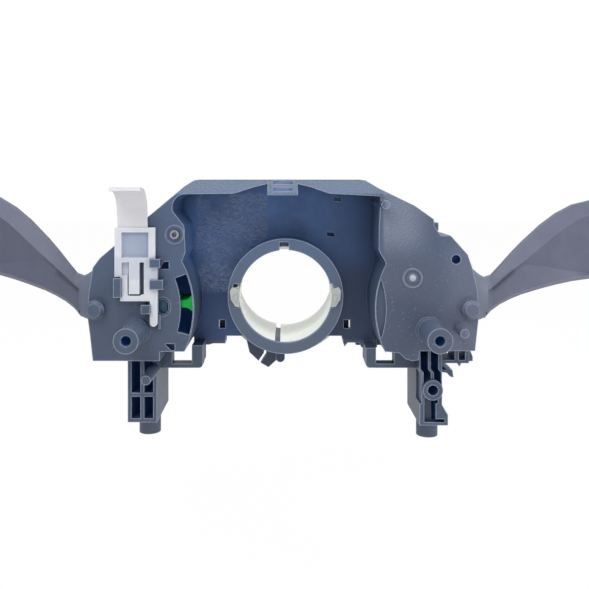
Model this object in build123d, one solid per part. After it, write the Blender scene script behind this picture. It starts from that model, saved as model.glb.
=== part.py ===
from build123d import *
import os
from math import atan, cos, degrees, radians, sin, sqrt, tan

# Combination stalk switch for a steering column, seen from its rear, the side that meets the column.
# Millimetres. The origin lies on the steering axis at the collar's rear face, +X to the right in the
# rear view, +Y towards the driver, +Z up. The wiper lever is on the -X side, the signal lever on +X.

LEFT = -1
RIGHT = 1

# Planes of the moulded housing along the steering axis
PLATE_Y = -14.0  # rear face of the two side plates
FLOOR_Y = 17.0  # rear face of the floor between them
FRONT_Y = 24.0  # front edge of the housing's walls
PLATE_T = 2.5
FLOOR_T = 2.5
WALL = 2.2
THIN_WALL = 0.8  # curved wall beside each follower
COVER_T = 2.5

# Heights and widths of the housing
MID_X = -1.1  # the two levers stand evenly about this plane
TOP_Z = 56.0
BAND_Z = 49.5  # lower edge of the band over the recess
FLOOR_BOTTOM_Z = -22.7
LEFT_BOTTOM_Z = -27.5
RIGHT_BOTTOM_Z = -22.9
LEFT_RECESS_X = -46.1
RIGHT_RECESS_X = 43.0
LEFT_BULGE_R = 45.0
RIGHT_BULGE_R = 43.7
LENS_R = 41.7  # inner edge of the lens-shaped hollow beside the right bulge
LENS_X = 46.2
SLOT_W = 5.6  # the arc window beside the left bulge

# Levers
PIVOT_X = 85.9  # swing axis of each lever, from the middle plane
PIVOT_Z = -3.5
TRUNNION_R = 2.6
SOCKET_GAP = 0.08  # radial running clearance of the trunnions
PIVOT_BOSS_R = 4.35
PIVOT_BOSS_H = 4.8
PULL_IN = 6.0  # pull axis, inboard of the swing axis
PULL_Y = 6.0
CHEEK_T = 2.8
TAIL_Y = (-1.0, 12.0)
PULL_PIN_R = 1.5
PIN_GAP = 0.06
TAIL_ANGLE = 2.5  # the follower stands this much above the swing axis, in degrees
HORN_H = 9.5  # the signal carrier's horn, above the swing axis
LEAN = 0.38  # how far a stalk leans towards the driver for each millimetre outwards
LEFT_RISE = 1.7  # the photographed levers stand this much above and below their mean
RIGHT_RISE = -1.7

# Collar and sleeve on the steering axis
BORE_R = 22.2
COLLAR_R = 27.7
SLEEVE_T = 1.4
SLEEVE_STRAIGHT_Y = 16.0
SLEEVE_END_Y = 65.0
SLEEVE_END_R = 26.4
FIT_GAP = 0.1
LIP_T = 1.5
NOTCH_X = (-2.9, 1.6)  # the notch at the top of the collar
NOTCH_D = 4.4
LOOP_X = (-8.3, 5.6)  # the ladder-shaped clip over the notch
GAP = 0.3  # clearance between pieces that move past each other

# Screw bosses and pins on the rear
STANDOFF_R = 5.5
STANDOFF_HOLE_R = 2.15
STANDOFF_TIP_Y = -36.5
LEFT_STANDOFF_IN = 18.5
RIGHT_STANDOFF_IN = 18.6
STANDOFF_DOWN = 9.9
HOLE_DEPTH = 20.0

# Legs
LEG_REAR_Y = -6.0
LEFT_LEG_X = (-74.4, -60.6)
RIGHT_LEG_X = (63.2, 73.8)
LEFT_LEG_BOTTOM_Z = -58.4
RIGHT_LEG_BOTTOM_Z = -59.9
LEG_END_Y = 27.0
LEG_PIN_Y = 8.4
LEG_PIN_R = 5.2
LEFT_PIN_END_Z = -67.4
RIGHT_PIN_END_Z = -69.0
LEG_BOSS_R = 4.7
LEG_BOSS_HOLE_R = 2.4
LEG_BOSS_Z = -42.8
LEG_JOG_Z = -33.4
LEG_CHANNEL_W = 3.6
LEG_RIB_T = 1.2
RIB_T = 1.8
POCKET_DEPTH = 18.0

# Latch slide on the left plate
LOCK_T = 2.6
LOCK_LEFT_X = -78.0
LOCK_RIGHT_X = -59.6
LOCK_TOP_Z = 34.0
TAB_REACH = 15.0
TAB_END_Z = 52.7
TAB_T = 1.7

# Stalks
STALK_START = 12.8  # from the swing axis
STALK_WALL = 1.8
BOARD_T = 1.6
KNOB_R = 11.0
KNOB_L = 19.0
WHEEL_R = 11.5
WHEEL_T = 6.0
BUTTON_R = 6.5

# Stalk ends
TIP_U = 110.5  # the stalk's end face, from the swing axis, and the height of its middle
TIP_UP = 32.4
END_T = 2.5
BOARD_UP = 16.0
WHEEL_PLACE = (82.0, 40.5)
AXLE_R = 1.2
AXLE_Y = (-7.2, 6.2)
SPINDLE_R = 3.0

# The flared shield: distance out, half height, half depth, height of its middle
ROOT_RINGS = [
    (4.8, 14.2, 9.8, 3.2),
    (7.5, 12.4, 8.7, 2.8),
    (10.0, 11.1, 7.8, 2.3),
    (STALK_START, 9.9, 7.2, 2.1),
]

# Stalk sections: distance out, bottom, lower crease, upper crease, top, half thickness.
# Heights are above the swing axis.
STALK_SECTIONS = [
    (STALK_START, -7.8, 4.0, 6.4, 11.9, 6.4),
    (16.5, -4.2, 6.4, 8.8, 12.8, 6.6),
    (21.5, -1.2, 10.4, 12.8, 17.6, 6.9),
    (27.0, 1.1, 14.6, 17.0, 23.2, 7.2),
    (33.0, 3.1, 18.6, 21.2, 28.8, 7.6),
    (44.0, 5.7, 17.6, 29.4, 37.9, 8.0),
    (53.0, 7.5, 16.0, 36.0, 43.9, 8.2),
    (63.0, 9.1, 14.6, 41.6, 48.6, 8.4),
    (74.5, 10.2, 13.4, 45.4, 51.2, 8.6),
    (90.0, 12.4, 17.0, 45.0, 51.0, 8.8),
    (104.0, 17.6, 22.6, 41.6, 47.4, 9.0),
    (114.0, 22.0, 26.0, 38.0, 43.0, 9.0),
]
VALLEY = 1.7  # how far the lower crease on a stalk's rear lies below its ridge

# Screws
SCREW_R = 1.9
SCREW_HEAD_R = 3.3
SCREW_HEAD_H = 2.2
SCREW_L = 14.0

# Front side
TUBE_R = 29.5
TUBE_END_Y = 58.0
RING_R = 34.5
RING_Y = (30.0, 38.0)
RING_GAP = 0.08
RING_LOBE = 1.5
PAWL_Y = (31.0, 36.0)
PAWL_PIN_R = 2.5
PAWL_SWING = 8.0
PAWL_FINGER = 8.6
CONNECTOR_X = (36.5, 56.5)
CONNECTOR_Z = (-29.5, -13.0)
CONNECTOR_D = 14.0


def pivot_x(side):
    """X of the swing axis on one side."""
    return MID_X + side * PIVOT_X


def hand(shape, side):
    """A shape drawn for the right-hand side, put on either side."""
    return shape if side == RIGHT else mirror(shape, Plane.YZ.offset(MID_X))


def block(x0, x1, y0, y1, z0, z1):
    """A box between two corners."""
    middle = Pos((x0 + x1) / 2, (y0 + y1) / 2, (z0 + z1) / 2)
    return middle * Box(abs(x1 - x0), abs(y1 - y0), abs(z1 - z0))


def rod(x, z, radius, y0, y1):
    """A cylinder along Y."""
    foot = (Align.CENTER, Align.CENTER, Align.MIN)
    return Pos(x, y0, z) * Rot(-90, 0, 0) * Cylinder(radius, y1 - y0, align=foot)


def taper(x, z, r0, r1, y0, y1):
    """A cone along Y, with radius r0 at y0 and r1 at y1."""
    foot = (Align.CENTER, Align.CENTER, Align.MIN)
    return Pos(x, y0, z) * Rot(-90, 0, 0) * Cone(r0, r1, y1 - y0, align=foot)


def post(x, y, radius, z0, z1):
    """A cylinder along Z."""
    foot = (Align.CENTER, Align.CENTER, Align.MIN)
    return Pos(x, y, z0) * Cylinder(radius, z1 - z0, align=foot)


def outline(*points):
    """A flat face through points given as X and Z."""
    return make_face(Polyline(*points, close=True))


def rounded(*corners):
    """A flat face through corners given as X, Z and the radius that rounds each one."""
    count = len(corners)
    edges = []
    ends = []
    for i, (x, z, radius) in enumerate(corners):
        here = Vector(x, z)
        before = (Vector(*corners[i - 1][:2]) - here).normalized()
        after = (Vector(*corners[(i + 1) % count][:2]) - here).normalized()
        half = before.get_angle(after) / 2
        run = radius / tan(radians(half))
        start, end = here + before * run, here + after * run
        if radius > 0:
            centre = here + (before + after).normalized() * (radius / sin(radians(half)))
            middle = centre + (here - centre).normalized() * radius
            edges.append(ThreePointArc(start, middle, end))
        ends.append((start, end))
    for i in range(count):
        edges.append(Line(ends[i - 1][1], ends[i][0]))
    return make_face(edges)


def slab(face, y0, y1):
    """A flat XZ face given thickness from y0 to y1."""
    return extrude(Plane.XZ.offset(-y1) * face, amount=y1 - y0, dir=(0, -1, 0))


def disc(x, z, radius):
    """A flat disc in the XZ plane."""
    return Pos(x, z) * Circle(radius)


def sector(x, z, r0, r1, a0, a1):
    """A piece of a flat ring, between two angles counted from +X towards +Z."""
    outer = CenterArc((x, z), r1, a0, a1 - a0)
    inner = CenterArc((x, z), r0, a0, a1 - a0)
    return make_face([outer, Line(outer @ 1, inner @ 1), inner, Line(inner @ 0, outer @ 0)])


def coil(radius, wire, turns, length):
    """A compression spring along +Z from the origin."""
    path = Helix(pitch=(length - wire) / turns, height=length - wire, radius=radius)
    section = Plane(origin=path @ 0, z_dir=path % 0) * Circle(wire / 2)
    return Pos(0, 0, wire / 2) * sweep(section, path=path, is_frenet=True)


# Flat outlines of the housing


def housing_outline():
    """The whole rear view of the moulding, without its legs."""
    lx = pivot_x(LEFT)
    rx = pivot_x(RIGHT)
    left_edge = [
        (lx + 47.5, TOP_Z),
        (lx + 45.0, TOP_Z - 0.3),
        (lx + 40.6, TOP_Z - 3.0),
        (lx + 22.7, PIVOT_Z + 41.5),
        (lx + 8.4, PIVOT_Z + 29.2),
        (lx + 1.5, PIVOT_Z + 23.3),
        (lx - 1.7, PIVOT_Z + 19.0),
        (lx - 3.7, PIVOT_Z + 6.5),
        (lx - 4.0, PIVOT_Z - 4.5),
        (lx - 3.0, PIVOT_Z - 12.0),
        (lx - 1.7, LEFT_BOTTOM_Z),
    ]
    left_foot = [
        (lx + 29.1, LEFT_BOTTOM_Z),
        (lx + 29.1, LEFT_BOTTOM_Z + 4.3),
        (LEFT_RECESS_X, LEFT_BOTTOM_Z + 4.3),
        (LEFT_RECESS_X, LEFT_BOTTOM_Z + 0.4),
        (-38.4, LEFT_BOTTOM_Z + 0.4),
        (-36.5, LEFT_BOTTOM_Z + 1.0),
        (-30.3, LEFT_BOTTOM_Z + 1.0),
        (-30.0, FLOOR_BOTTOM_Z),
    ]
    right_foot = [
        (28.4, FLOOR_BOTTOM_Z),
        (29.8, FLOOR_BOTTOM_Z - 5.4),
        (31.4, FLOOR_BOTTOM_Z - 3.4),
        (37.5, FLOOR_BOTTOM_Z - 3.4),
        (38.3, FLOOR_BOTTOM_Z - 5.8),
        (RIGHT_RECESS_X + 3.2, FLOOR_BOTTOM_Z - 5.8),
        (RIGHT_RECESS_X + 3.2, RIGHT_BOTTOM_Z),
    ]
    right_edge = [
        (rx + 2.4, RIGHT_BOTTOM_Z),
        (rx + 4.0, PIVOT_Z - 4.5),
        (rx + 3.6, PIVOT_Z + 8.0),
        (rx + 1.1, PIVOT_Z + 19.0),
        (rx - 1.0, PIVOT_Z + 25.0),
        (rx - 8.8, PIVOT_Z + 33.7),
        (rx - 13.4, PIVOT_Z + 33.7),
        (rx - 16.4, PIVOT_Z + 38.3),
        (rx - 16.6, PIVOT_Z + 41.3),
        (rx - 25.4, PIVOT_Z + 47.5),
        (rx - 41.5, TOP_Z - 4.2),
        (rx - 48.0, TOP_Z - 0.4),
        (rx - 50.8, TOP_Z),
    ]
    return outline(*left_edge, *left_foot, *right_foot, *right_edge)


def recess_outline():
    """The open recess round the collar, which runs out at the bottom."""
    low = LEFT_BOTTOM_Z - WALL
    left = [
        (LEFT_RECESS_X - 6.0, BAND_Z - 0.3, 6.0),
        (LEFT_RECESS_X - 6.0, BAND_Z - 8.0, 2.5),
        (LEFT_RECESS_X - 0.4, BAND_Z - 15.0, 5.0),
        (LEFT_RECESS_X, PIVOT_Z + 25.5, 3.0),
        (LEFT_RECESS_X - 2.6, PIVOT_Z + 20.0, 1.5),
        (LEFT_RECESS_X - 1.6, PIVOT_Z + 15.0, 0),
        (LEFT_RECESS_X - 1.6, low, 0),
    ]
    right = [
        (RIGHT_RECESS_X + 3.6, low, 0),
        (RIGHT_RECESS_X + 1.6, PIVOT_Z + 13.6, 1.0),
        (RIGHT_RECESS_X + 3.6, PIVOT_Z + 18.0, 1.8),
        (RIGHT_RECESS_X + 3.0, PIVOT_Z + 21.4, 1.8),
        (RIGHT_RECESS_X - 0.1, PIVOT_Z + 27.0, 3.0),
        (RIGHT_RECESS_X, BAND_Z - 15.0, 0),
        (RIGHT_RECESS_X + 0.8, BAND_Z - 1.2, 0.5),
    ]
    arch = [
        (20.3, BAND_Z, 8.0),
        (12.2, BAND_Z + 2.9, 12.0),
        (5.6, BAND_Z + 4.5, 0),
        (-8.4, BAND_Z + 4.5, 0),
        (-15.4, BAND_Z + 2.8, 12.0),
        (-24.0, BAND_Z, 8.0),
    ]
    face = rounded(*left, *right, *arch)
    face -= disc(pivot_x(LEFT), PIVOT_Z, LEFT_BULGE_R)
    face -= disc(pivot_x(RIGHT), PIVOT_Z, RIGHT_BULGE_R)
    return face


def cell_outline(side):
    """The inside of one side compartment."""
    body = housing_outline() - recess_outline()
    inner_x = (LEFT_RECESS_X + 2.5) if side == LEFT else (RIGHT_RECESS_X + 1)
    far_x = side * 2 * PIVOT_X
    low = (LEFT_BOTTOM_Z - WALL) if side == LEFT else RIGHT_BOTTOM_Z
    window = outline((inner_x, low), (far_x, low), (far_x, 2 * TOP_Z), (inner_x, 2 * TOP_Z))
    cell = offset(body & window, amount=-WALL)
    bulge_r = (LEFT_BULGE_R if side == LEFT else RIGHT_BULGE_R) - THIN_WALL
    start = 180 if side == RIGHT else 0
    return cell + sector(pivot_x(side), PIVOT_Z, 20, bulge_r, start - 22, start + 22)


# Housing


def standoff_place(side):
    """Axis of one long screw boss, as X and Z."""
    inboard = LEFT_STANDOFF_IN if side == LEFT else RIGHT_STANDOFF_IN
    return pivot_x(side) - side * inboard, PIVOT_Z - STANDOFF_DOWN


def standoff(side):
    """A tapered boss on the plate, with a blind screw hole."""
    x, z = standoff_place(side)
    shape = taper(x, z, STANDOFF_R, STANDOFF_R - 0.2, STANDOFF_TIP_Y, PLATE_Y + 1)
    return shape + taper(x, z, STANDOFF_R, STANDOFF_R + 0.8, PLATE_Y - 1.5, PLATE_Y + 0.1)


def standoff_hole(side):
    """The blind hole down a screw boss."""
    x, z = standoff_place(side)
    mouth = taper(x, z, STANDOFF_HOLE_R + 0.4, STANDOFF_HOLE_R, STANDOFF_TIP_Y - 0.01, STANDOFF_TIP_Y + 0.4)
    return mouth + rod(x, z, STANDOFF_HOLE_R, STANDOFF_TIP_Y, STANDOFF_TIP_Y + HOLE_DEPTH)


def pivot_boss(side):
    """The closed boss that holds a lever's rear trunnion."""
    x = pivot_x(side)
    tip = PLATE_Y - PIVOT_BOSS_H
    cap = taper(x, PIVOT_Z, PIVOT_BOSS_R - 1.3, PIVOT_BOSS_R, tip, tip + 1.3)
    return cap + rod(x, PIVOT_Z, PIVOT_BOSS_R, tip + 1.3, PLATE_Y + PLATE_T)


def pivot_socket(side):
    """The bearing hole for a lever's rear trunnion."""
    tip = PLATE_Y - PIVOT_BOSS_H
    return rod(pivot_x(side), PIVOT_Z, TRUNNION_R + SOCKET_GAP, tip + 1.4, PLATE_Y + PLATE_T + 0.1)


def pocketed_leg(side):
    """One of the two hanging legs, open to the rear between its ribs."""
    left = side == LEFT
    x0, x1 = LEFT_LEG_X if left else RIGHT_LEG_X
    body_bottom = LEFT_BOTTOM_Z if left else RIGHT_BOTTOM_Z
    bottom = LEFT_LEG_BOTTOM_Z if left else RIGHT_LEG_BOTTOM_Z
    leg = block(x0, x1, LEG_REAR_Y, FRONT_Y, bottom, body_bottom + WALL)
    leg += block(x0, x1, FRONT_Y - 1, LEG_END_Y, bottom, body_bottom - GAP)
    middle = (x0 + x1) / 2
    pin_end = LEFT_PIN_END_Z if left else RIGHT_PIN_END_Z
    leg += post(middle + 1.0, LEG_PIN_Y, LEG_PIN_R, pin_end, bottom)
    rear = LEG_REAR_Y - 1
    deep = LEG_REAR_Y + POCKET_DEPTH
    if left:
        split_z = -45.4
        top = body_bottom - 1.2
        for z0, z1 in ((split_z + RIB_T / 2, top), (bottom + RIB_T, split_z - RIB_T / 2)):
            leg -= block(x0 + RIB_T, middle - RIB_T / 2, rear, deep, z0, z1)
            leg -= block(middle + RIB_T / 2, x1 - RIB_T, rear, deep, z0, z1)
        return leg
    top = body_bottom - 1.0
    for k in (0, 1):
        shift = k * (LEG_CHANNEL_W + LEG_RIB_T)
        left_x = x0 + 0.4 + shift
        right_x = left_x + LEG_CHANNEL_W
        channel = outline(
            (left_x, top),
            (left_x, LEG_JOG_Z),
            (left_x + 1.5, LEG_JOG_Z - 1.6),
            (left_x + 1.5, LEG_BOSS_Z + 1.0),
            (right_x + 1.3, LEG_BOSS_Z + 1.0),
            (right_x + 1.3, LEG_JOG_Z - 1.6),
            (right_x, LEG_JOG_Z),
            (right_x, top),
        )
        leg -= slab(channel, rear, deep)
    leg -= block(x0 - 1, x0 + 1.0, rear, LEG_REAR_Y + 9, LEG_JOG_Z - 1.6, LEG_BOSS_Z - 6.8)
    leg -= block(x0 + 2.2, x1 - 2.0, rear, LEG_REAR_Y + 3.5, bottom + 1.5, LEG_BOSS_Z - 4.0)
    leg -= block(x1 - 4.4, x1 - 2.0, rear, deep, bottom + 3.0, LEG_BOSS_Z - 4.0)
    foot = outline(
        (x1 - 3, bottom),
        (x1 + 2.8, bottom),
        (x1 + 2.8, bottom + 5.0),
        (x1 - 0.4, bottom + 10.4),
        (x1 - 3, bottom + 10.4),
    )
    leg += slab(foot, LEG_REAR_Y, LEG_REAR_Y + 12)
    leg -= block(x1 - 4.4, x1 + 1.2, rear, LEG_REAR_Y + 9, bottom + 1.4, bottom + 3.0)
    return leg + rod(leg_boss_x(), LEG_BOSS_Z, LEG_BOSS_R, LEG_REAR_Y - 2.0, LEG_REAR_Y + 16)


def leg_boss_x():
    """X of the screw boss in the right leg."""
    return RIGHT_LEG_X[0] + 5.9


def leg_boss_hole():
    """The screw hole in the right leg."""
    return rod(leg_boss_x(), LEG_BOSS_Z, LEG_BOSS_HOLE_R, LEG_REAR_Y - 3, LEG_REAR_Y + 14)


def leg_peg():
    """The tapered peg that points out of the left leg to the rear."""
    x, z = LEFT_LEG_X[1] - 1.5, -33.4
    return taper(x, z, 2.1, 2.9, LEG_REAR_Y - 19, LEG_REAR_Y + 1)


def side_loop(side):
    """A strap that joins a leg to the floor and leaves a window above it."""
    z0, z1 = -35.4, -33.4
    y0, y1 = 4.0, 11.0
    if side == LEFT:
        x_leg, x_end = LEFT_LEG_X[1] - 1, LEFT_RECESS_X + 6.0
        bar = block(x_leg, x_end - 2, y0, y1, z0, z1)
        stem = block(x_end - 5.4, x_end, y0, FLOOR_Y + 1, z1, LEFT_BOTTOM_Z + 3)
        corner = rod(x_end - 2.0, z1, 2.0, y0, y1)
        foot = block(LEFT_LEG_X[1] - 1, LEFT_LEG_X[1] + 5.6, y0, y1, z1 - 0.1, LEFT_BOTTOM_Z + 5)
        return bar + stem + corner + foot
    x_leg, x_end = RIGHT_LEG_X[0] + 1, RIGHT_RECESS_X - 4.0
    bar = block(x_end + 2, x_leg, y0, y1, z0, z1)
    stem = block(x_end, x_end + 5.0, y0, FLOOR_Y + 1, z1, FLOOR_BOTTOM_Z - 3)
    corner = rod(x_end + 2.0, z1, 2.0, y0, y1)
    foot = block(RIGHT_LEG_X[0] - 10.4, RIGHT_LEG_X[0] + 1, y0, y1, z1 - 0.1, RIGHT_BOTTOM_Z + 3)
    return bar + stem + corner + foot


def cable_shelf():
    """The small ribbed shelf and its hooks beside the right leg."""
    x0 = RIGHT_LEG_X[1] - 0.5
    top = RIGHT_BOTTOM_Z + 1
    shelf = block(x0, x0 + 14.2, -2, 12, -31.6, -30.1)
    shelf += block(x0 + 7.4, x0 + 9.4, -2, 12, -30.2, top)
    shelf += block(x0 + 12.4, x0 + 14.4, -2, 12, -30.2, top)
    hook = outline((x0 + 8.6, -31.4), (x0 + 10.6, -31.4), (x0 + 9.8, -33.2))
    tail = outline(
        (x0 + 14.2, -31.3),
        (x0 + 16.6, -31.0),
        (x0 + 16.6, -29.0),
        (x0 + 15.6, -26.4),
        (x0 + 14.2, -25.4),
    )
    claw = outline(
        (x0, -30.5),
        (x0 + 1.8, -31.6),
        (x0 + 6.4, -35.0),
        (x0 + 6.9, -38.4),
        (x0 + 5.2, -38.0),
        (x0 + 3.6, -36.2),
        (x0, -35.7),
    )
    shelf += slab(hook, -2, 2) + slab(tail, 0, 9) + slab(claw, -2, 8)
    return shelf - slab(outline((x0 + 1.2, -32.6), (x0 + 4.4, -35.0), (x0 + 1.2, -34.6)), -3, 6)


def under_collar_lugs():
    """Two short lugs below the collar, behind the floor."""
    wide = outline((-20.4, -22.0), (-18.2, -31.2), (-13.6, -35.5), (-10.9, -31.6), (-9.6, -24.0))
    long = outline((-9.6, -24.0), (-9.8, -32.6), (-12.6, -37.0), (-8.6, -39.3), (-3.4, -34.6), (-1.5, -25.0))
    nub = rod(-2.6, -34.2, 2.3, FLOOR_Y + 2, FRONT_Y) + block(-4.9, -0.3, FLOOR_Y + 2, FRONT_Y, -34.2, -25.0)
    return slab(wide, FLOOR_Y + 1, FRONT_Y) + slab(long, FLOOR_Y + 3, FRONT_Y) + nub


def board_rest_places():
    """Where the main board rests on the floor, as X and Z."""
    return [(LEFT_RECESS_X + 10, COLLAR_R + 6), (RIGHT_RECESS_X - 10, BAND_Z - 6), (RIGHT_RECESS_X - 10, -8)]


def latch_loop():
    """The ladder-shaped clip in the middle of the top band."""
    return block(*LOOP_X, PLATE_Y - 0.6, PLATE_Y + 9, TOP_Z - 7.2, TOP_Z)


def latch_loop_windows():
    """The two windows in that clip."""
    x0, x1 = LOOP_X[0] + 2.5, LOOP_X[1] - 2.4
    upper = block(x0, x1, PLATE_Y - 1, PLATE_Y + 1.2, TOP_Z - 2.2, TOP_Z - 0.5)
    return upper + block(x0, x1, PLATE_Y - 1, PLATE_Y + 1.2, TOP_Z - 5.3, TOP_Z - 3.6)


def rear_hook(x_face, thick, x_lip, z0, z1):
    """An L-shaped hook on the left plate, whose lip reaches over the latch slide."""
    lip_y = PLATE_Y - GAP - LOCK_T - GAP
    x_back = x_face + (thick if x_lip < x_face else -thick)
    stem = block(x_face, x_back, lip_y, PLATE_Y + 0.5, z0, z1)
    return stem + block(x_back, x_lip, lip_y - 1.5, lip_y, z0, z1)


def latch_guides():
    """The hooks and ribs that guide the latch slide."""
    arm_x = LOCK_RIGHT_X + 1.1
    guides = rear_hook(LOCK_LEFT_X + 1.2, 1.4, LOCK_LEFT_X + 3.4, 2.4, 11.2)
    guides += rear_hook(arm_x + GAP, 1.2, LOCK_RIGHT_X - 2.2, 15.9, 19.9)
    guides += rear_hook(arm_x + GAP + 1.2, 1.4, LOCK_RIGHT_X - 2.2, 6.0, 10.4)
    guides += rear_hook(LOCK_RIGHT_X - 4.6, 1.4, LOCK_RIGHT_X - 1.8, -5.0, -1.0)
    guides += block(arm_x + GAP, arm_x + GAP + 0.9, PLATE_Y - 1.2, PLATE_Y + 0.5, -12.5, -6.0)
    return guides


def housing_cuts():
    """Slots, windows and holes through the plates and the floor."""
    lx = pivot_x(LEFT)
    rx = pivot_x(RIGHT)
    plate = (PLATE_Y - 1, PLATE_Y + PLATE_T + 1)
    floor = (FLOOR_Y - 1, FLOOR_Y + FLOOR_T + 1)
    arc_r = LEFT_BULGE_R - THIN_WALL + 0.1
    arc = sector(lx, PIVOT_Z, arc_r - SLOT_W, arc_r, -15.8, 21.2)
    cuts = slab(arc, *plate)
    wedge = outline((lx + 29.2, 14.8), (lx + 33.3, 14.8), (lx + 33.3, 18.2), (lx + 31.0, 18.2))
    cuts += slab(wedge, *plate)
    lower = outline((lx + 31.4, -19.6), (lx + 36.0, -19.6), (lx + 36.0, -22.6), (lx + 34.4, -22.6))
    cuts += slab(lower, *plate)
    eye = Pos(lx + 30.6, -2.5) * Ellipse(2.6, 3.4)
    cuts += slab(eye, *plate)
    cuts += rod(rx - 6.3, PIVOT_Z + 22.7, 2.1, PLATE_Y - 1, PLATE_Y + PLATE_T + 4)
    lens = disc(rx, PIVOT_Z, RIGHT_BULGE_R - 0.6) & disc(LENS_X - LENS_R, PIVOT_Z, LENS_R)
    cuts += slab(lens, PLATE_Y - 1, PLATE_Y + 1.4) & block(30, 60, -30, 0, -20.6, 30)
    for x, z in ((26.2, 46.2), (22.8, 28.5)):
        slot = outline((x - 2.2, z + 1.2), (x + 1.7, z + 0.9), (x + 2.2, z - 1.2), (x - 1.7, z - 0.9))
        cuts += slab(slot, *floor)
    for x in (-31.9, 31.0):
        cuts += block(x - 1.6, x + 1.6, *floor, -18.8, -14.6)
    return cuts


def plate_screw_place():
    """Axis of the screw in the left plate, as X and Z."""
    return pivot_x(LEFT) + 36.0, PIVOT_Z + 34.2


def plate_marks():
    """Raised ring and ringed dome on the plates, and the groove round the eye in the left one."""
    sx, sz = plate_screw_place()
    rings = rod(sx, sz, 4.4, PLATE_Y - 0.4, PLATE_Y + 0.5) - rod(sx, sz, 3.9, PLATE_Y - 1, PLATE_Y + 1)
    dome_x, dome_z = pivot_x(RIGHT) - 26.4, PIVOT_Z + 14.2
    rings += rod(dome_x, dome_z, 4.5, PLATE_Y - 0.5, PLATE_Y + 0.5)
    rings -= rod(dome_x, dome_z, 3.9, PLATE_Y - 1, PLATE_Y)
    ball = Pos(dome_x, PLATE_Y + 1.0, dome_z) * Sphere(2.4)
    rings += ball - block(dome_x - 3, dome_x + 3, PLATE_Y + 1, PLATE_Y + 5, dome_z - 3, dome_z + 3)
    eye_x, eye_z = pivot_x(LEFT) + 30.6, -2.5
    rim = Pos(eye_x, eye_z) * Ellipse(3.5, 4.3) - Pos(eye_x, eye_z) * Ellipse(2.8, 3.6)
    return rings, slab(rim, PLATE_Y - 0.1, PLATE_Y + 0.4)


def sleeve_pockets(grow):
    """The spaces through the collar's lip for the sleeve's two claws."""
    z0, z1 = -5.2 - grow, 4.2 + grow
    reach = BORE_R + 2.0 + grow
    left = block(-reach, -BORE_R + 3, -1, LIP_T + 1, z0, z1)
    return left + block(BORE_R - 3, reach, -1, LIP_T + 1, z0, z1)


def rear_housing():
    """The main moulding: side compartments, recess floor, collar, bosses and legs."""
    whole = housing_outline()
    recess = recess_outline()
    body = slab(whole, PLATE_Y, FRONT_Y) - slab(recess, PLATE_Y - 1, FLOOR_Y)
    for side in (LEFT, RIGHT):
        body -= slab(cell_outline(side), PLATE_Y + PLATE_T, FRONT_Y + 1)
    behind = outline(
        (LEFT_RECESS_X + 5, FLOOR_BOTTOM_Z + WALL),
        (RIGHT_RECESS_X - 5, FLOOR_BOTTOM_Z + WALL),
        (RIGHT_RECESS_X - 5, BAND_Z - 1),
        (LEFT_RECESS_X + 5, BAND_Z - 1),
    )
    body -= slab(behind, FLOOR_Y + FLOOR_T, FRONT_Y + 1)
    body += rod(0, 0, COLLAR_R, 0, FRONT_Y)
    body += under_collar_lugs() + latch_loop()
    for side in (LEFT, RIGHT):
        body += standoff(side) + pivot_boss(side) + pocketed_leg(side) + side_loop(side)
        body -= slab(cell_outline(side), PLATE_Y + PLATE_T, FRONT_Y + 1)
        body -= lever_opening(side)
    raised_marks, sunk_marks = plate_marks()
    body += leg_peg() + cable_shelf() + latch_guides() + raised_marks
    lobe = outline(
        (45.4, -21.6),
        (45.9, -23.2),
        (52.5, -23.9),
        (55.0, -26.5),
        (58.2, -27.5),
        (61.2, -27.1),
        (62.0, -21.6),
    )
    body += slab(lobe, PLATE_Y, 3.0)
    body -= sunk_marks
    rx = pivot_x(RIGHT)
    body += rod(rx - 5.5, PIVOT_Z - 8.8, 2.0, PLATE_Y - 12.4, PLATE_Y + 1)
    body += rod(RIGHT_RECESS_X + 2.3, BAND_Z - 4.9, 2.0, PLATE_Y - 6.0, FLOOR_Y + 1)
    body += block(rx - 16.8, rx - 14.2, PLATE_Y + 1, PLATE_Y + 6, PIVOT_Z + 36, PIVOT_Z + 39.6)
    body += rod(rx - 6.3, PIVOT_Z + 22.7, 3.1, PLATE_Y + 1, PLATE_Y + PLATE_T + 5.2)
    for side in (LEFT, RIGHT):
        body -= pivot_socket(side) + standoff_hole(side)
    sx, sz = plate_screw_place()
    body -= rod(sx, sz, SCREW_R, PLATE_Y - 1, PLATE_Y + PLATE_T + 1)
    body += cell_posts()
    body -= cell_post_holes()
    for x, z in board_rest_places():
        body += rod(x, z, 2.0, FLOOR_Y + FLOOR_T - 0.1, FLOOR_Y + FLOOR_T + 1.0)
    body -= housing_cuts() + leg_boss_hole() + latch_loop_windows()
    body -= rod(0, 0, BORE_R, -1, LIP_T + 0.1) + sleeve_room()
    body -= sleeve_pockets(0.35)
    body -= block(*NOTCH_X, -1, NOTCH_D, BORE_R - 3, BORE_R + 3.8)
    for side in (LEFT, RIGHT):
        body -= hand(block(BORE_R - 1 + MID_X, BORE_R + 1.8 + MID_X, -1, 3.0, 4.0, 5.9), side)
    return body


def lever_opening(side):
    """The gap in the side wall through which a lever leaves."""
    top = PIVOT_Z + 18.7
    bottom = PIVOT_Z - 15.0
    x0 = PIVOT_X - 4.0 + MID_X
    cut = block(x0, x0 + 20, PLATE_Y + PLATE_T, FRONT_Y + 1, bottom, top)
    return hand(cut, side)


def sleeve_outer_r(y):
    """Outer radius of the sleeve at a depth."""
    slope = (SLEEVE_END_R - BORE_R) / (SLEEVE_END_Y - SLEEVE_STRAIGHT_Y)
    return BORE_R + SLEEVE_T + max(0, y - SLEEVE_STRAIGHT_Y) * slope


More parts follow.
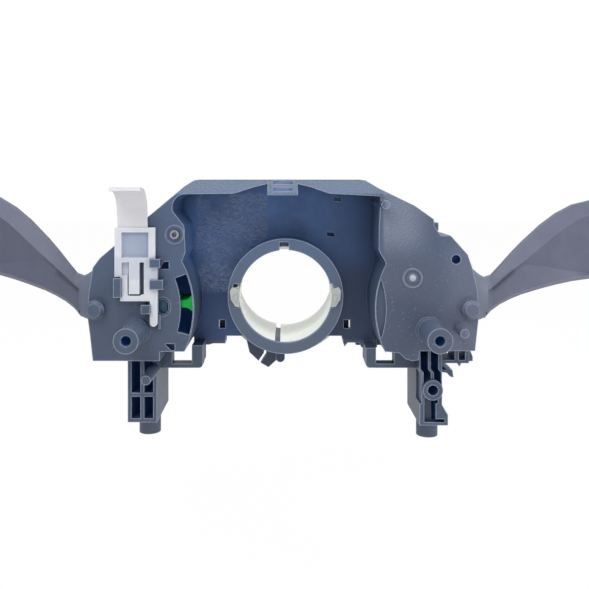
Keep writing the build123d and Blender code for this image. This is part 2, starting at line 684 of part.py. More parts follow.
def sleeve_room():
    """The stepped and flared space that the sleeve fills, with its fitting gap."""
    straight = rod(0, 0, BORE_R + SLEEVE_T + FIT_GAP, LIP_T, SLEEVE_STRAIGHT_Y)
    start = sleeve_outer_r(SLEEVE_STRAIGHT_Y) + FIT_GAP
    end = sleeve_outer_r(SLEEVE_END_Y) + FIT_GAP
    return straight + taper(0, 0, start, end, SLEEVE_STRAIGHT_Y, SLEEVE_END_Y)


def column_sleeve():
    """The flared white sleeve in the collar, with two claws over the collar's rear face."""
    straight = rod(0, 0, BORE_R + SLEEVE_T, LIP_T, SLEEVE_STRAIGHT_Y)
    flare = taper(0, 0, sleeve_outer_r(0), sleeve_outer_r(SLEEVE_END_Y), SLEEVE_STRAIGHT_Y, SLEEVE_END_Y)
    shape = straight + flare
    claws = sleeve_pockets(0) & block(-40, 40, -0.1, LIP_T + 1, -10, 10)
    for side in (LEFT, RIGHT):
        claw = [(0.1, 3.6), (3.3, 4.6), (4.4, 2.8), (4.0, -1.3), (2.0, -4.4), (0.1, -5.2)]
        tooth = [(0.8, 1.4), (2.7, 0.3), (1.3, -3.2)]
        claws += slab(outline(*[(side * (BORE_R + x), z) for x, z in claw]), -1.3, -0.1)
        claws += slab(outline(*[(side * (BORE_R + x), z) for x, z in tooth]), -2.0, -1.2)
    shape += claws
    shape -= rod(0, 0, BORE_R, -3, SLEEVE_STRAIGHT_Y)
    shape -= block(*NOTCH_X, -1, NOTCH_D, BORE_R - 3, BORE_R + 3.8)
    shape -= taper(0, 0, BORE_R, SLEEVE_END_R, SLEEVE_STRAIGHT_Y, SLEEVE_END_Y + 0.01)
    return shape - block(-5.1, -2.6, LIP_T - 1, SLEEVE_END_Y + 1, -40, -10)


# Fasteners and what they clamp


def cover_screw_places():
    """Axes of the screws that hold the front cover, as X and Z."""
    lx = pivot_x(LEFT)
    rx = pivot_x(RIGHT)
    return [
        (lx + 30.0, PIVOT_Z + 40.0),
        (lx + 8.5, PIVOT_Z + 22.0),
        (lx + 16.0, PIVOT_Z - 20.0),
        (lx + 36.0, PIVOT_Z - 14.2),
        (rx - 34.0, PIVOT_Z + 41.0),
        (rx - 14.0, PIVOT_Z + 24.0),
        (rx - 36.0, PIVOT_Z + 27.5),
    ]


def cell_posts():
    """The posts inside the compartments that take the cover screws."""
    posts = [rod(x, z, 4.0, PLATE_Y + 1, FRONT_Y) for x, z in cover_screw_places()]
    return Compound(posts)


def cell_post_holes():
    """The screw holes in those posts."""
    deep = FRONT_Y - SCREW_L
    return Compound([rod(x, z, SCREW_R, deep, FRONT_Y + 1) for x, z in cover_screw_places()])


def machine_screw():
    """A pan-head screw along +Y from its head's seat at the origin."""
    head = taper(0, 0, SCREW_HEAD_R, SCREW_HEAD_R - 0.6, 0, SCREW_HEAD_H)
    shank = rod(0, 0, SCREW_R, 0.5 - SCREW_L, 0)
    star = Pos(0, SCREW_HEAD_H + 0.01, 0) * Rot(90, 0, 0) * extrude(RegularPolygon(1.5, 6), amount=1.4)
    return head + shank - star


def cover_screws():
    """The screws through the front cover."""
    seat = FRONT_Y + COVER_T
    return Compound([Pos(x, seat, z) * machine_screw() for x, z in cover_screw_places()])


def plate_screw():
    """The screw seen in the left plate, with its head on the plate's rear face."""
    x, z = plate_screw_place()
    return Pos(x, PLATE_Y, z) * Rot(0, 0, 180) * short_screw()


def short_screw():
    """A small screw along +Y from its head's seat."""
    head = taper(0, 0, 2.5, 2.1, 0, 1.4)
    shank = rod(0, 0, SCREW_R, -7.0, 0)
    star = Pos(0, 1.41, 0) * Rot(90, 0, 0) * extrude(RegularPolygon(1.2, 6), amount=1.0)
    return head + shank - star


# Front cover and what sits on it


def front_cover():
    """The lid on the driver's side, with its tube round the sleeve and the lever bearings."""
    cover = slab(housing_outline(), FRONT_Y, FRONT_Y + COVER_T)
    cover += rod(0, 0, TUBE_R, FRONT_Y, TUBE_END_Y)
    cover += rod(0, 0, TUBE_R + 1.0, RING_Y[1] + GAP, RING_Y[1] + GAP + 1.2)
    for side in (LEFT, RIGHT):
        cover += rod(pivot_x(side), PIVOT_Z, PIVOT_BOSS_R, FRONT_Y - 4.0, FRONT_Y + COVER_T)
        cover -= rod(pivot_x(side), PIVOT_Z, TRUNNION_R + SOCKET_GAP, FRONT_Y - 4.1, FRONT_Y + 1)
    cover += cover_ribs()
    for x, z in cover_screw_places():
        cover -= rod(x, z, SCREW_R, FRONT_Y - 1, FRONT_Y + COVER_T + 1)
        cover -= rod(x, z, SCREW_HEAD_R + GAP, FRONT_Y + COVER_T, FRONT_Y + COVER_T + 4)
    px, pz = pawl_place()
    cover += rod(px, pz, PAWL_PIN_R, FRONT_Y + 1, PAWL_Y[1] + 2.0)
    cover += rod(px, pz, PAWL_PIN_R + 2, FRONT_Y + 1, PAWL_Y[0] - GAP)
    cover += spring_seat()
    cover -= pawl_slot()
    for x0, x1 in ((-35.0, -33.8), (32.6, 33.8)):
        cover -= block(x0, x1, FRONT_Y - 1, FRONT_Y + COVER_T + 1, -20.4, -16.0)
    cover -= sleeve_room()
    return cover


def cover_ribs():
    """Stiffening ribs across the two halves of the cover."""
    y0, y1 = FRONT_Y + COVER_T - 0.2, FRONT_Y + COVER_T + 2.0
    lx = pivot_x(LEFT)
    ribs = block(lx + 2, lx + 46, y0, y1, 8.0, 9.4)
    ribs += block(lx + 20, lx + 21.4, y0, y1, -18, 30)
    rx = pivot_x(RIGHT)
    ribs += block(rx - 22, rx - 2, y0, y1, 8.0, 9.4)
    ribs += block(rx - 21.4, rx - 20, y0, y1, -18, 30)
    ribs += block(-28, 26, y0, y1, TOP_Z - 6.0, TOP_Z - 4.6)
    for x in (-26, -2, 22):
        ribs += block(x, x + 1.4, y0, y1, TOP_Z - 17, TOP_Z - 5)
    return ribs


# Cancelling ring and pawl


def cancel_ring():
    """The ring turned by the steering wheel, with the lobe that returns the signal lever."""
    ring = rod(0, 0, RING_R, *RING_Y)
    ring += slab(sector(0, 0, TUBE_R + 1, RING_R + RING_LOBE, 70, 110), RING_Y[0] + 1, RING_Y[1] - 1)
    ring -= rod(0, 0, TUBE_R + RING_GAP, RING_Y[0] - 1, RING_Y[1] + 1)
    for start in (-8, 172):
        dog = sector(0, 0, TUBE_R + 1 + 2 * GAP, RING_R, start, start + 16)
        ring += slab(dog, RING_Y[1] - 0.5, RING_Y[1] + 8)
    return ring


def pawl_place():
    """Axis of the cancelling pawl, as X and Z."""
    return RING_R + 17.0, 14.0


def cancel_pawl():
    """The pawl between the ring and the signal lever's carrier."""
    px, pz = pawl_place()
    y0, y1 = PAWL_Y
    reach = RING_R + RING_LOBE + 2 * GAP
    nose_z = 4.0
    nose_x = sqrt(reach * reach - nose_z * nose_z) + 0.6
    arm = outline(
        (nose_x, nose_z),
        (nose_x + 2.4, nose_z - 1.6),
        (px + 3.0, pz - 3.6),
        (px + 11.0, pz - 2.2),
        (px + 11.0, pz + 1.4),
        (px - 3.0, pz + 3.6),
    )
    pawl = slab(arm, y0, y1) + rod(px, pz, 4.8, y0, y1)
    pawl -= rod(px, pz, PAWL_PIN_R + PIN_GAP, y0 - 1, y1 + 1)
    return pawl + rod(px + PAWL_FINGER, pz - 0.4, 1.4, FRONT_Y - 3.5, y0 + 0.5)


def pawl_slot():
    """The slot in the cover for the pawl's finger."""
    px, pz = pawl_place()
    face = sector(px, pz, 6.0, 11.2, -10 - PAWL_SWING, 12 + PAWL_SWING)
    return slab(face, FRONT_Y - 1, FRONT_Y + COVER_T + 1)


def spring_seat():
    """The ledge under the pawl's spring."""
    px, pz = pawl_place()
    return block(px + 6.4, px + 11.4, FRONT_Y + 1, PAWL_Y[1], pz - 12.4, pz - 10.4)


def pawl_spring():
    """The spring that holds the pawl up."""
    px, pz = pawl_place()
    low = pz - 10.4
    length = (pz - 2.2) - low - 0.4
    return Pos(px + 8.9, (PAWL_Y[0] + PAWL_Y[1]) / 2, low) * coil(1.6, 0.5, 6, length)


# Connector and boards


def connector_shroud():
    """The plug socket below the cover's right half, open downwards."""
    x0, x1 = CONNECTOR_X
    z0, z1 = CONNECTOR_Z
    y0 = FRONT_Y + COVER_T
    shell = block(x0, x1, y0, y0 + CONNECTOR_D, z0, z1)
    shell -= block(x0 + 1.5, x1 - 1.5, y0 + 1.5, y0 + CONNECTOR_D - 1.5, z0 - 1, z1 - 3)
    shell += block(x0 + 8, x1 - 8, y0 + CONNECTOR_D, y0 + CONNECTOR_D + 1.6, z0 + 3, z0 + 6)
    return shell - Compound([pin_hole(x, y) for x, y in pin_places()])


def pin_places():
    """X and Y of the connector's pins."""
    middle_x = (CONNECTOR_X[0] + CONNECTOR_X[1]) / 2
    middle_y = FRONT_Y + COVER_T + CONNECTOR_D / 2
    return [(middle_x + (i - 2.5) * 2.5, middle_y + j * 2.5) for i in range(6) for j in (-0.5, 0.5)]


def pin_hole(x, y):
    """The hole for one pin through the socket's end wall."""
    z1 = CONNECTOR_Z[1]
    return block(x - 0.35, x + 0.35, y - 0.35, y + 0.35, z1 - 4, z1 + 1)


def connector_pins():
    """The square pins in the socket."""
    z0, z1 = CONNECTOR_Z
    pins = [block(x - 0.32, x + 0.32, y - 0.32, y + 0.32, z1 - 11, z1 + 1.5) for x, y in pin_places()]
    return Compound(pins)


def main_board():
    """The circuit board between the floor and the front cover."""
    y0 = FLOOR_Y + FLOOR_T + 1.0
    y1 = y0 + BOARD_T
    board = block(LEFT_RECESS_X + 6, RIGHT_RECESS_X - 6, y0, y1, COLLAR_R + 1.2, BAND_Z - 2)
    return board + block(COLLAR_R + 1.2, RIGHT_RECESS_X - 6, y0, y1, -12.0, BAND_Z - 3)


def board_blocks():
    """The chips and plugs on the main board."""
    y1 = FLOOR_Y + FLOOR_T + 1.0 + BOARD_T
    chips = [
        block(-30, -20, y1, y1 + 1.2, 32, 42),
        block(-12, -6, y1, y1 + 1.0, 34, 41),
        block(2, 14, y1, y1 + 1.2, 33, 41),
        block(20, 30, y1, y1 + 1.1, 31, 37),
    ]
    return Compound(chips)


def switch_board(side):
    """The contact board behind one side plate."""
    x = PIVOT_X + MID_X
    y0 = PLATE_Y + PLATE_T + 0.6
    face = outline(
        (x - 32.0, PIVOT_Z - 9.0),
        (x - 29.0, PIVOT_Z - 12.5),
        (x - 9.0, PIVOT_Z - 12.5),
        (x - 9.0, PIVOT_Z + 16.0),
        (x - 22.0, PIVOT_Z + 24.0),
        (x - 27.5, PIVOT_Z + 24.0),
        (x - 27.5, PIVOT_Z + 14.0),
        (x - 32.0, PIVOT_Z + 10.0),
    )
    if side == LEFT:
        ear = [(x - 27.5, PIVOT_Z + 22.8), (x - 38.0, PIVOT_Z + 28.6), (x - 38.0, PIVOT_Z + 33.0)]
        ear += [(x - 37.2, PIVOT_Z + 35.6), (x - 33.5, PIVOT_Z + 35.6), (x - 22.0, PIVOT_Z + 24.0)]
        face += outline(*ear)
    board = slab(face, y0, y0 + BOARD_T)
    for z in (PIVOT_Z - 10.5, PIVOT_Z + 20.5):
        board += rod(x - 20.0, z, 1.4, y0 - 0.6, y0)
    board = hand(board, side)
    if side == LEFT:
        sx, sz = plate_screw_place()
        board += rod(sx, sz, SCREW_R + 0.5, y0 - 0.6, y0)
        board -= rod(sx, sz, SCREW_R, y0 - 1, y0 + BOARD_T + 1)
    return board


# Lever mechanism, drawn for the right-hand side


def tipped(shape):
    """A tail piece turned about the swing axis to its photographed height."""
    x = PIVOT_X + MID_X
    return Pos(x, 0, PIVOT_Z) * Rot(0, TAIL_ANGLE, 0) * Pos(-x, 0, -PIVOT_Z) * shape


def raised(shape, side):
    """A lever piece turned about the swing axis to its photographed height, on its own side."""
    rise = LEFT_RISE if side == LEFT else RIGHT_RISE
    x = PIVOT_X + MID_X
    return hand(Pos(x, 0, PIVOT_Z) * Rot(0, -rise, 0) * Pos(-x, 0, -PIVOT_Z) * shape, side)


def carrier(side):
    """The swinging frame with its two trunnions and its tail."""
    x = PIVOT_X + MID_X
    z = PIVOT_Z
    rear, front = PLATE_Y + PLATE_T + 5.5, FRONT_Y - 6.0
    cheek = outline(
        (x - 16.0, z - 7.0),
        (x - 10.5, z - 14.0),
        (x - 1.5, z - 14.0),
        (x + 3.2, z - 5.0),
        (x + 3.2, z + 5.0),
        (x - 1.5, z + 11.0),
        (x - 10.5, z + 11.0),
        (x - 16.0, z + 7.0),
    )
    frame = slab(cheek, rear, rear + CHEEK_T) + slab(cheek, front - CHEEK_T, front)
    frame += block(x - 10.5, x - 1.5, rear, front, z + 8.4, z + 11.0)
    frame += block(x - 10.5, x - 1.5, rear, front, z - 14.0, z - 11.4)
    frame += block(x - 16.0, x - 13.4, rear, front, z - 7.0, z + 7.0)
    frame += rod(x, z, TRUNNION_R, PLATE_Y - PIVOT_BOSS_H + 1.8, rear)
    frame += rod(x, z, TRUNNION_R, front, FRONT_Y + 0.6)
    frame -= post(x - PULL_IN, PULL_Y, PULL_PIN_R, z - 13.0, z + 12.0)
    tail = block(x - 35.0, x - 15.0, TAIL_Y[0], TAIL_Y[1], z - 4.0, z + 4.0)
    tail -= block(x - 36.0, x - 22.0, TAIL_Y[0] + 3.6, TAIL_Y[1] - 3.6, z - 2.6, z + 2.6)
    whole = raised(frame, side) + hand(tipped(tail), side)
    if side == RIGHT:
        horn_x = pawl_place()[0] + PAWL_FINGER
        whole += block(horn_x - 2.0, horn_x + 2.0, TAIL_Y[1] - 4.0, FRONT_Y - 2.5, z + 1.0, z + HORN_H)
        whole += block(horn_x - 2.0, horn_x + 2.0, TAIL_Y[1] - 4.0, TAIL_Y[1], z, z + 3.0)
    return whole


def follower(side):
    """The green detent follower at the end of a carrier's tail."""
    x = PIVOT_X + MID_X
    z = PIVOT_Z
    reach = (LEFT_BULGE_R if side == LEFT else RIGHT_BULGE_R) - THIN_WALL - GAP
    tip = sector(x, z, reach - 1.0, reach, 175.7, 184.3)
    upper = [(x - reach + 0.6, 3.1), (x - reach + 1.6, 2.3), (x - reach + 3.0, 1.7), (x - 36.0, 1.5)]
    flare = [(px, z + pz) for px, pz in upper] + [(px, z - pz) for px, pz in reversed(upper)]
    shape = slab(outline(*flare), PLATE_Y + PLATE_T + 0.4, 9.0) + slab(tip, PLATE_Y + PLATE_T + 0.4, 10.0)
    shape += block(x - 37.0, x - 29.5, TAIL_Y[0] + 3.8, TAIL_Y[1] - 3.8, z - 2.4, z + 2.4)
    return hand(tipped(shape), side)


def detent_spring(side):
    """The spring that pushes a follower outwards along the tail."""
    middle = (TAIL_Y[0] + TAIL_Y[1]) / 2
    spring = Pos(PIVOT_X + MID_X - 22.1, middle, PIVOT_Z) * Rot(0, -90, 0) * coil(1.7, 0.6, 5, 7.3)
    return hand(tipped(spring), side)


def contact_bridge(side):
    """The sprung contact that a carrier drags over its board."""
    x = PIVOT_X + MID_X
    z = PIVOT_Z
    seat = block(x - 27.0, x - 18.0, TAIL_Y[0] - 0.4, TAIL_Y[0], z - 3.0, z + 3.0)
    board = PLATE_Y + PLATE_T + 0.6 + BOARD_T
    for dz in (-2.0, 0.9):
        finger = Polyline((x - 26.0, TAIL_Y[0] - 0.2), (x - 21.5, board + 1.2), (x - 17.5, board + 0.6))
        ribbon = Plane.XY.offset(z + dz) * offset(finger, amount=0.2, side=Side.BOTH)
        seat += extrude(make_face(ribbon.edges()), amount=1.1)
    return hand(tipped(seat), side)


def pull_pin(side):
    """The steel pin on which a lever tips towards the driver."""
    x = PIVOT_X + MID_X - PULL_IN
    return raised(post(x, PULL_Y, PULL_PIN_R, PIVOT_Z - 13.0, PIVOT_Z + 11.0), side)


def lean_y(u):
    """Depth of a stalk's middle surface at a distance out from the swing axis."""
    return 8.5 + LEAN * (u - STALK_START)


def stalk_section(row, inset):
    """One closed section of a stalk, in from its outside by the inset."""
    u, low, crease_low, crease_high, high, half = row
    y = lean_y(u)
    low += inset
    high -= inset
    deep = half - inset
    edge = 2.0 if inset == 0 else 1.2
    x = PIVOT_X + MID_X + u
    points = [
        (y - edge, high),
        (y - deep + 0.3, crease_high),
        (y - deep + VALLEY, crease_low),
        (y - deep + 0.1, low + 3.0),
        (y - edge, low),
        (y + edge, low),
        (y + deep - 1.0, crease_low + 1.0),
        (y + deep - 1.0, crease_high),
        (y + edge, high),
    ]
    line = Polyline(*[(x, py, PIVOT_Z + pz) for py, pz in points], close=True)
    return make_face(line)


def stalk_body(inset, last):
    """A creased stalk from its root through a run of sections."""
    faces = [stalk_section(row, inset) for row in STALK_SECTIONS[:last]]
    return loft(Sketch() + faces, ruled=True)


def stalk_point(u, up):
    """A place on a stalk's middle surface, with its X along the stalk."""
    slope = degrees(atan(LEAN))
    return Pos(PIVOT_X + MID_X + u, lean_y(u), PIVOT_Z + up) * Rot(0, 0, slope)


def stalk_tip():
    """The middle of a stalk's end face."""
    return stalk_point(TIP_U, TIP_UP)


def up_to(shape, place, along):
    """The part of a shape before a plane across the stalk."""
    half = Pos(along, 0, 0) * Box(400, 400, 400, align=(Align.MAX, Align.CENTER, Align.CENTER))
    return shape & (place * half)


def split_half(shape, front):
    """The driver's side or the rear half of a stalk."""
    lie = Align.MIN if front else Align.MAX
    half = Box(500, 400, 400, align=(Align.CENTER, lie, Align.CENTER))
    return shape & (stalk_point(STALK_START, 0) * half)


def lever_root(side):
    """The arm between the pull pin and the stalk, with its flared shield."""
    x = PIVOT_X + MID_X
    z = PIVOT_Z
    arm = post(x - PULL_IN, PULL_Y, 4.2, z - 11.1, z + 8.1)
    arm += block(x - PULL_IN, x + 6.0, PULL_Y - 3.4, PULL_Y + 4.8, z - 8.0, z + 6.0)
    arm += block(x - PULL_IN - 6.6, x - PULL_IN, PULL_Y - 3.4, PULL_Y + 3.0, z - 3.6, z + 3.6)
    arm -= post(x - PULL_IN, PULL_Y, PULL_PIN_R + PIN_GAP, z - 12.0, z + 9.0)
    rings = []
    for u, half_z, half_y, up in ROOT_RINGS:
        y = PULL_Y + 0.4 + (u - ROOT_RINGS[0][0]) * 0.22
        place = Plane(origin=(x + u, y, z + up), x_dir=(0, 1, 0), z_dir=(1, 0, 0))
        rings.append(place * Ellipse(half_y, half_z))
    arm += loft(Sketch() + rings)
    inset = STALK_WALL + FIT_GAP
    arm += extrude(stalk_section(STALK_SECTIONS[0], inset), amount=1.0, dir=(-1, 0, 0))
    arm += stalk_body(inset, 5)
    return raised(arm, side)


def pull_spring(side):
    """The spring that returns a lever from the driver's side."""
    x = PIVOT_X + MID_X - PULL_IN - 4.4
    rear = PLATE_Y + PLATE_T + 5.5 + CHEEK_T
    length = PULL_Y - 3.4 - rear
    return raised(Pos(x, rear, PIVOT_Z) * Rot(-90, 0, 0) * coil(1.5, 0.5, 5, length), side)


def bulkhead(side):
    """Where the cross wall near a stalk's end starts and ends, from the tip."""
    return (-16.6, -15.0) if side == LEFT else (-8.2, -6.6)


def stalk_shell(side, front):
    """One hollow half of a stalk."""
    tip = stalk_tip()
    outer = up_to(stalk_body(0, len(STALK_SECTIONS)), tip, 0)
    shell = outer - up_to(stalk_body(STALK_WALL, len(STALK_SECTIONS)), tip, -END_T)
    x0, x1 = bulkhead(side)
    shell += outer & (tip * block(x0, x1, -60, 60, -60, 60))
    if side == LEFT:
        shell -= wheel_room() + button_room()
    else:
        shell -= knob_room()
    half = split_half(shell, front)
    if not front:
        for u in (STALK_SECTIONS[6][0] + 4, STALK_SECTIONS[9][0] - 5):
            half += stalk_point(u, BOARD_UP + 5) * rod(0, 0, 1.8, -6.0, -BOARD_T / 2)
    return raised(half, side)


def stalk_board(side):
    """The slim board inside a stalk."""
    u0, u1 = STALK_SECTIONS[6][0], STALK_SECTIONS[9][0]
    length = (u1 - u0) / cos(atan(LEAN))
    board = stalk_point(u0, BOARD_UP) * block(0, length, -BOARD_T / 2, BOARD_T / 2, 0, 11)
    return raised(board, side)


def knob_room():
    """The round hole through the signal stalk's end wall for the knob's spindle."""
    hole = Pos(-END_T - 12, 0, 0) * Rot(0, 90, 0) * Cylinder(SPINDLE_R + SOCKET_GAP, 50)
    return stalk_tip() * hole


def light_knob():
    """The rotary knob at the end of the signal stalk."""
    foot = (Align.CENTER, Align.CENTER, Align.MIN)
    body = Rot(0, 90, 0) * Pos(0, 0, 0.5) * Cylinder(KNOB_R, KNOB_L, align=foot)
    body = chamfer(body.edges().filter_by(GeomType.CIRCLE), 1.2)
    for k in range(24):
        body -= Rot(k * 15, 0, 0) * Pos(0.5 + KNOB_L / 2, 0, KNOB_R + 0.5) * Box(KNOB_L - 6, 1.1, 1.8)
    body += Rot(0, 90, 0) * Pos(0, 0, bulkhead(RIGHT)[0]) * Cylinder(SPINDLE_R, 12, align=foot)
    return raised(stalk_tip() * body, RIGHT)


def wheel_room():
    """The slot for the interval wheel in the wiper stalk's upper edge, with its axle holes."""
    room = Rot(90, 0, 0) * Cylinder(WHEEL_R + 0.6, WHEEL_T + 0.8)
    room += rod(0, 0, AXLE_R + PIN_GAP, AXLE_Y[0] - 0.2, AXLE_Y[1] + 0.2)
    return stalk_point(*WHEEL_PLACE) * room


def interval_wheel():
    """The ribbed thumb wheel for the wipe interval."""
    wheel = Rot(90, 0, 0) * Cylinder(WHEEL_R, WHEEL_T)
    for k in range(30):
        wheel -= Rot(0, k * 12, 0) * Pos(WHEEL_R + 0.4, 0, 0) * Box(1.6, WHEEL_T + 1, 1.0)
    wheel += rod(0, 0, AXLE_R, *AXLE_Y)
    return raised(stalk_point(*WHEEL_PLACE) * wheel, LEFT)


def button_room():
    """The hole for the end button of the wiper stalk."""
    hole = Pos(-4.5, 0, 0) * Rot(0, 90, 0) * Cylinder(BUTTON_R + GAP, 12)
    return stalk_tip() * hole


def end_button():
    """The push button in the end of the wiper stalk, with two ears behind the end wall."""
    foot = (Align.CENTER, Align.CENTER, Align.MIN)
    cap = Rot(0, 90, 0) * Pos(0, 0, -7.2) * Cylinder(BUTTON_R, 10.2, align=foot)
    cap = fillet(cap.edges().filter_by(GeomType.CIRCLE).sort_by(Axis.X)[-1:], 1.4)
    cap += block(-END_T - GAP - 1.6, -END_T - GAP, -3.6, 3.6, -BUTTON_R - 2.2, BUTTON_R + 2.2)
    return raised(stalk_tip() * cap, LEFT)


def button_spring():
    """The spring behind the end button."""
    start = bulkhead(LEFT)[1]
    spring = Pos(start, 0, 0) * Rot(0, 90, 0) * coil(2.6, 0.6, 4, -7.2 - start)
    return raised(stalk_tip() * spring, LEFT)


# Latch slide


def lock_slide():
    """The natural-coloured latch slide with its curled finger tab and spring tongue."""
    rear = PLATE_Y - GAP - LOCK_T
    front = PLATE_Y - GAP
    x0, x1 = LOCK_LEFT_X, LOCK_RIGHT_X
    frame = block(x0, x1, rear, front, 16.0, LOCK_TOP_Z)
    frame += block(x0, x0 + 5.8, rear, front, 11.6, 16.5)
    frame += block(x0 + 2.6, x1 - 1.6, rear, front, 0.5, 16.5)
    frame += block(x1 - 2.3, x1 + 1.1, rear, front, -9.4, 16.5)
    frame += rod(x1 - 0.6, -9.4, 1.7, rear, front)
    web = front - 0.9
    frame -= block(x0 + 3.0, x1 - 2.9, rear - 1, web, 20.3, 31.9)
    frame -= block(x0 + 3.2, x0 + 6.4, rear - 1, web, 12.2, 18.2)
    frame -= block(x0 + 5.9, x0 + 6.5, rear - 1, front + 1, 3.4, 18.2)
    frame -= block(x0 + 11.3, x0 + 13.4, rear - 1, front + 1, 3.4, 18.2)
    frame -= block(x0 + 6.2, x0 + 12.0, rear - 1, front + 1, 2.9, 3.7)
    tab_x0, tab_x1 = x0 + 1.2, x0 + 14.8
    bend = Polyline((front - TAB_T / 2, LOCK_TOP_Z - 1), (front - TAB_T / 2 - 1.6, TAB_END_Z - 10.5))
    knee = TangentArc(bend @ 1, (rear - 8.0, TAB_END_Z - TAB_T / 2 - 0.6), tangent=bend % 1)
    run = Line(knee @ 1, (rear - TAB_REACH, TAB_END_Z - TAB_T / 2))
    strip = trace(Curve() + bend + knee + run, line_width=TAB_T)
    tab = extrude(Plane.YZ.offset(tab_x0) * strip, amount=tab_x1 - tab_x0)
    return frame + tab


def save(shape, node):
    """Write one node's solids."""
    export_step(shape, "parts/" + node + ".step")


def build_housing():
    """Write the fixed pieces."""
    save(rear_housing(), "rear_housing")
    save(front_cover(), "front_cover")
    save(column_sleeve(), "column_sleeve")
    save(cover_screws(), "cover_screws")
    save(plate_screw(), "plate_screw")
    save(connector_shroud(), "connector_shroud")
    save(connector_pins(), "connector_pins")
    save(main_board(), "main_board")
    save(board_blocks(), "board_chips")
    save(switch_board(LEFT), "wiper_switch_board")
    save(switch_board(RIGHT), "signal_switch_board")
    save(cancel_ring(), "cancel_ring")
    save(cancel_pawl(), "cancel_pawl")
    save(pawl_spring(), "cancel_pawl_spring")
    save(lock_slide(), "lock_slide")


def build_lever(name, side):
    """Write the pieces of one lever."""
    save(carrier(side), name + "_carrier")
    save(follower(side), name + "_detent_follower")
    save(detent_spring(side), name + "_detent_spring")
    save(contact_bridge(side), name + "_contact_bridge")
    save(pull_pin(side), name + "_pull_pin")
    save(pull_spring(side), name + "_pull_spring")
    save(lever_root(side), name + "_lever_root")
    save(stalk_shell(side, False), name + "_stalk_rear_shell")
    save(stalk_shell(side, True), name + "_stalk_front_shell")
    save(stalk_board(side), name + "_stalk_board")


def build_controls():
    """Write the small controls on the stalks."""
    save(light_knob(), "light_knob")
    save(interval_wheel(), "interval_wheel")
    save(end_button(), "end_button")
    save(button_spring(), "end_button_spring")


os.makedirs("parts", exist_ok=True)
build_housing()
build_lever("wiper", LEFT)
build_lever("signal", RIGHT)
build_controls()
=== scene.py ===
"""Looks of a combination stalk switch: the finish of every piece, the light and the camera."""

from math import radians

import bmesh
import bpy
from mathutils import Matrix, Vector


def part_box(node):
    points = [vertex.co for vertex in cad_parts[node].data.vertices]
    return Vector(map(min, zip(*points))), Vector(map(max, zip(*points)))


bl_info = {
    "name": "Combination stalk switch",
    "version": (1, 0, 0),
    "blender": (4, 5, 0),
    "location": "View3D > Sidebar > Stalk switch",
    "description": "Finishes, light and camera for a combination stalk switch",
    "category": "Object",
}

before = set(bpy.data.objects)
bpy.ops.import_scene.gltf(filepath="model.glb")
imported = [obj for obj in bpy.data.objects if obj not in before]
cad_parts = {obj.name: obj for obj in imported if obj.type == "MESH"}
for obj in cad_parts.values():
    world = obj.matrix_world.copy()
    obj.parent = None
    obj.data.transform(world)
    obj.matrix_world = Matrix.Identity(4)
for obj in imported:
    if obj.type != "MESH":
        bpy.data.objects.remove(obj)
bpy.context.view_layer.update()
MM = 0.001

# Regions of the frame with a finish of their own, as low and high corners in millimetres.
# None is no limit on that axis.
ANYWHERE = (None, None, None)
BUT_TALL_POSTS = (None, -14.5, None), ANYWHERE
RECESS_FLOOR = (-54, 8, -24), (48, 18, 53)
IN_RECESS = ANYWHERE, (None, 19, 53)
FLOOR_GLARE = (-46, 8, 24), (20, 18, 60)
FLOOR_SHADE = (16, 8, -30), (60, 18, 2)
FLOOR_RUBBED = (-41, 14, 4), (-13, 18, 45)
COLLAR_FACE = ANYWHERE, (None, 6, None)
RIGHT_PLATE = (46, None, -24), (92, 2, 50)
RIGHT_PLATE_OUTER = (82, None, -24), (92, 2, 20)
RIGHT_PLATE_INNER = (40, None, -30), (56, 2, -4)
RIGHT_PLATE_DUST = (44, None, 33), (54, 2, 52)
TOP_BAND = (-62, None, 50), (62, 14, None)
UNDER_TOP_FACE = ANYWHERE, (None, None, 55.4)
RIGHT_WALL = (40, -12, -22), (47, 15.5, 50)
LADDER_WINDOWS = (-5.8, -13.2, 50.4), (3.2, -12.4, 55.6)
LUGS = (-22, 17, -42), (2, 25, -26)
POST_SIDES = (None, -36.2, None), (None, -15, None)
POST_HOLES = (None, -35.5, None), (None, -10, None)
BEHIND_SLOTS = (
    ((-72, -11.6, -25.8), (-43, 24.8, 26)),
    ((74, -11.6, 14), (83, 24.8, 24)),
)
BEHIND_FLOOR_HOLES = (16, 17.6, 22), (36, 24, 53)
LEG_POCKETS = (None, -4.5, -68), (None, 25, -30)
SLEEVE_CLAWS = (None, None, -8), (None, 0, 8)
SLIDE_TAB = (None, None, 34.5), (None, -14, None)
SLIDE_WINDOW = (-74.6, -15.4, 20.6), (-62.8, -14.2, 31.6)
SLIDE_LOW_WEB = (-79, -17.2, 11), (-58, -14.2, 20)
LEVER_NECKS = ANYWHERE, (98, None, None)
LEFT_LEVER = ANYWHERE, (-90, None, None)

# Round places, by their axes along Y, in millimetres.
COLLAR = 0, 0, 27.2  # X, Z and radius
DOME = 58.4, 10.7, 0.9
POSTS = (-68.5, -13.4), (66.2, -13.4)  # X and Z of the tall posts
POST_R = 6.4
POST_HOLE_R = 2.3
COMPARTMENTS = (-87.0, -3.5, 43.2), (84.8, -3.5, 42.2)  # the round hollows behind the side plates
FOLDS = (101.4, 3.4, 36.2), (-101.2, 3.2, 146.3)  # X, Z and angle of the fold in each lever's neck
FOLD_LENGTH = 12.5
FOLD_HALF_WIDTH = 0.2

# Colours that several finishes share.
BLACK = "#000000"
WHITE = "#ffffff"
PAINTED_SHADE = "#222d3f"
WELL_GLOW = "#04132a"  # painted faint blue glow in deep places, so they look navy and not black
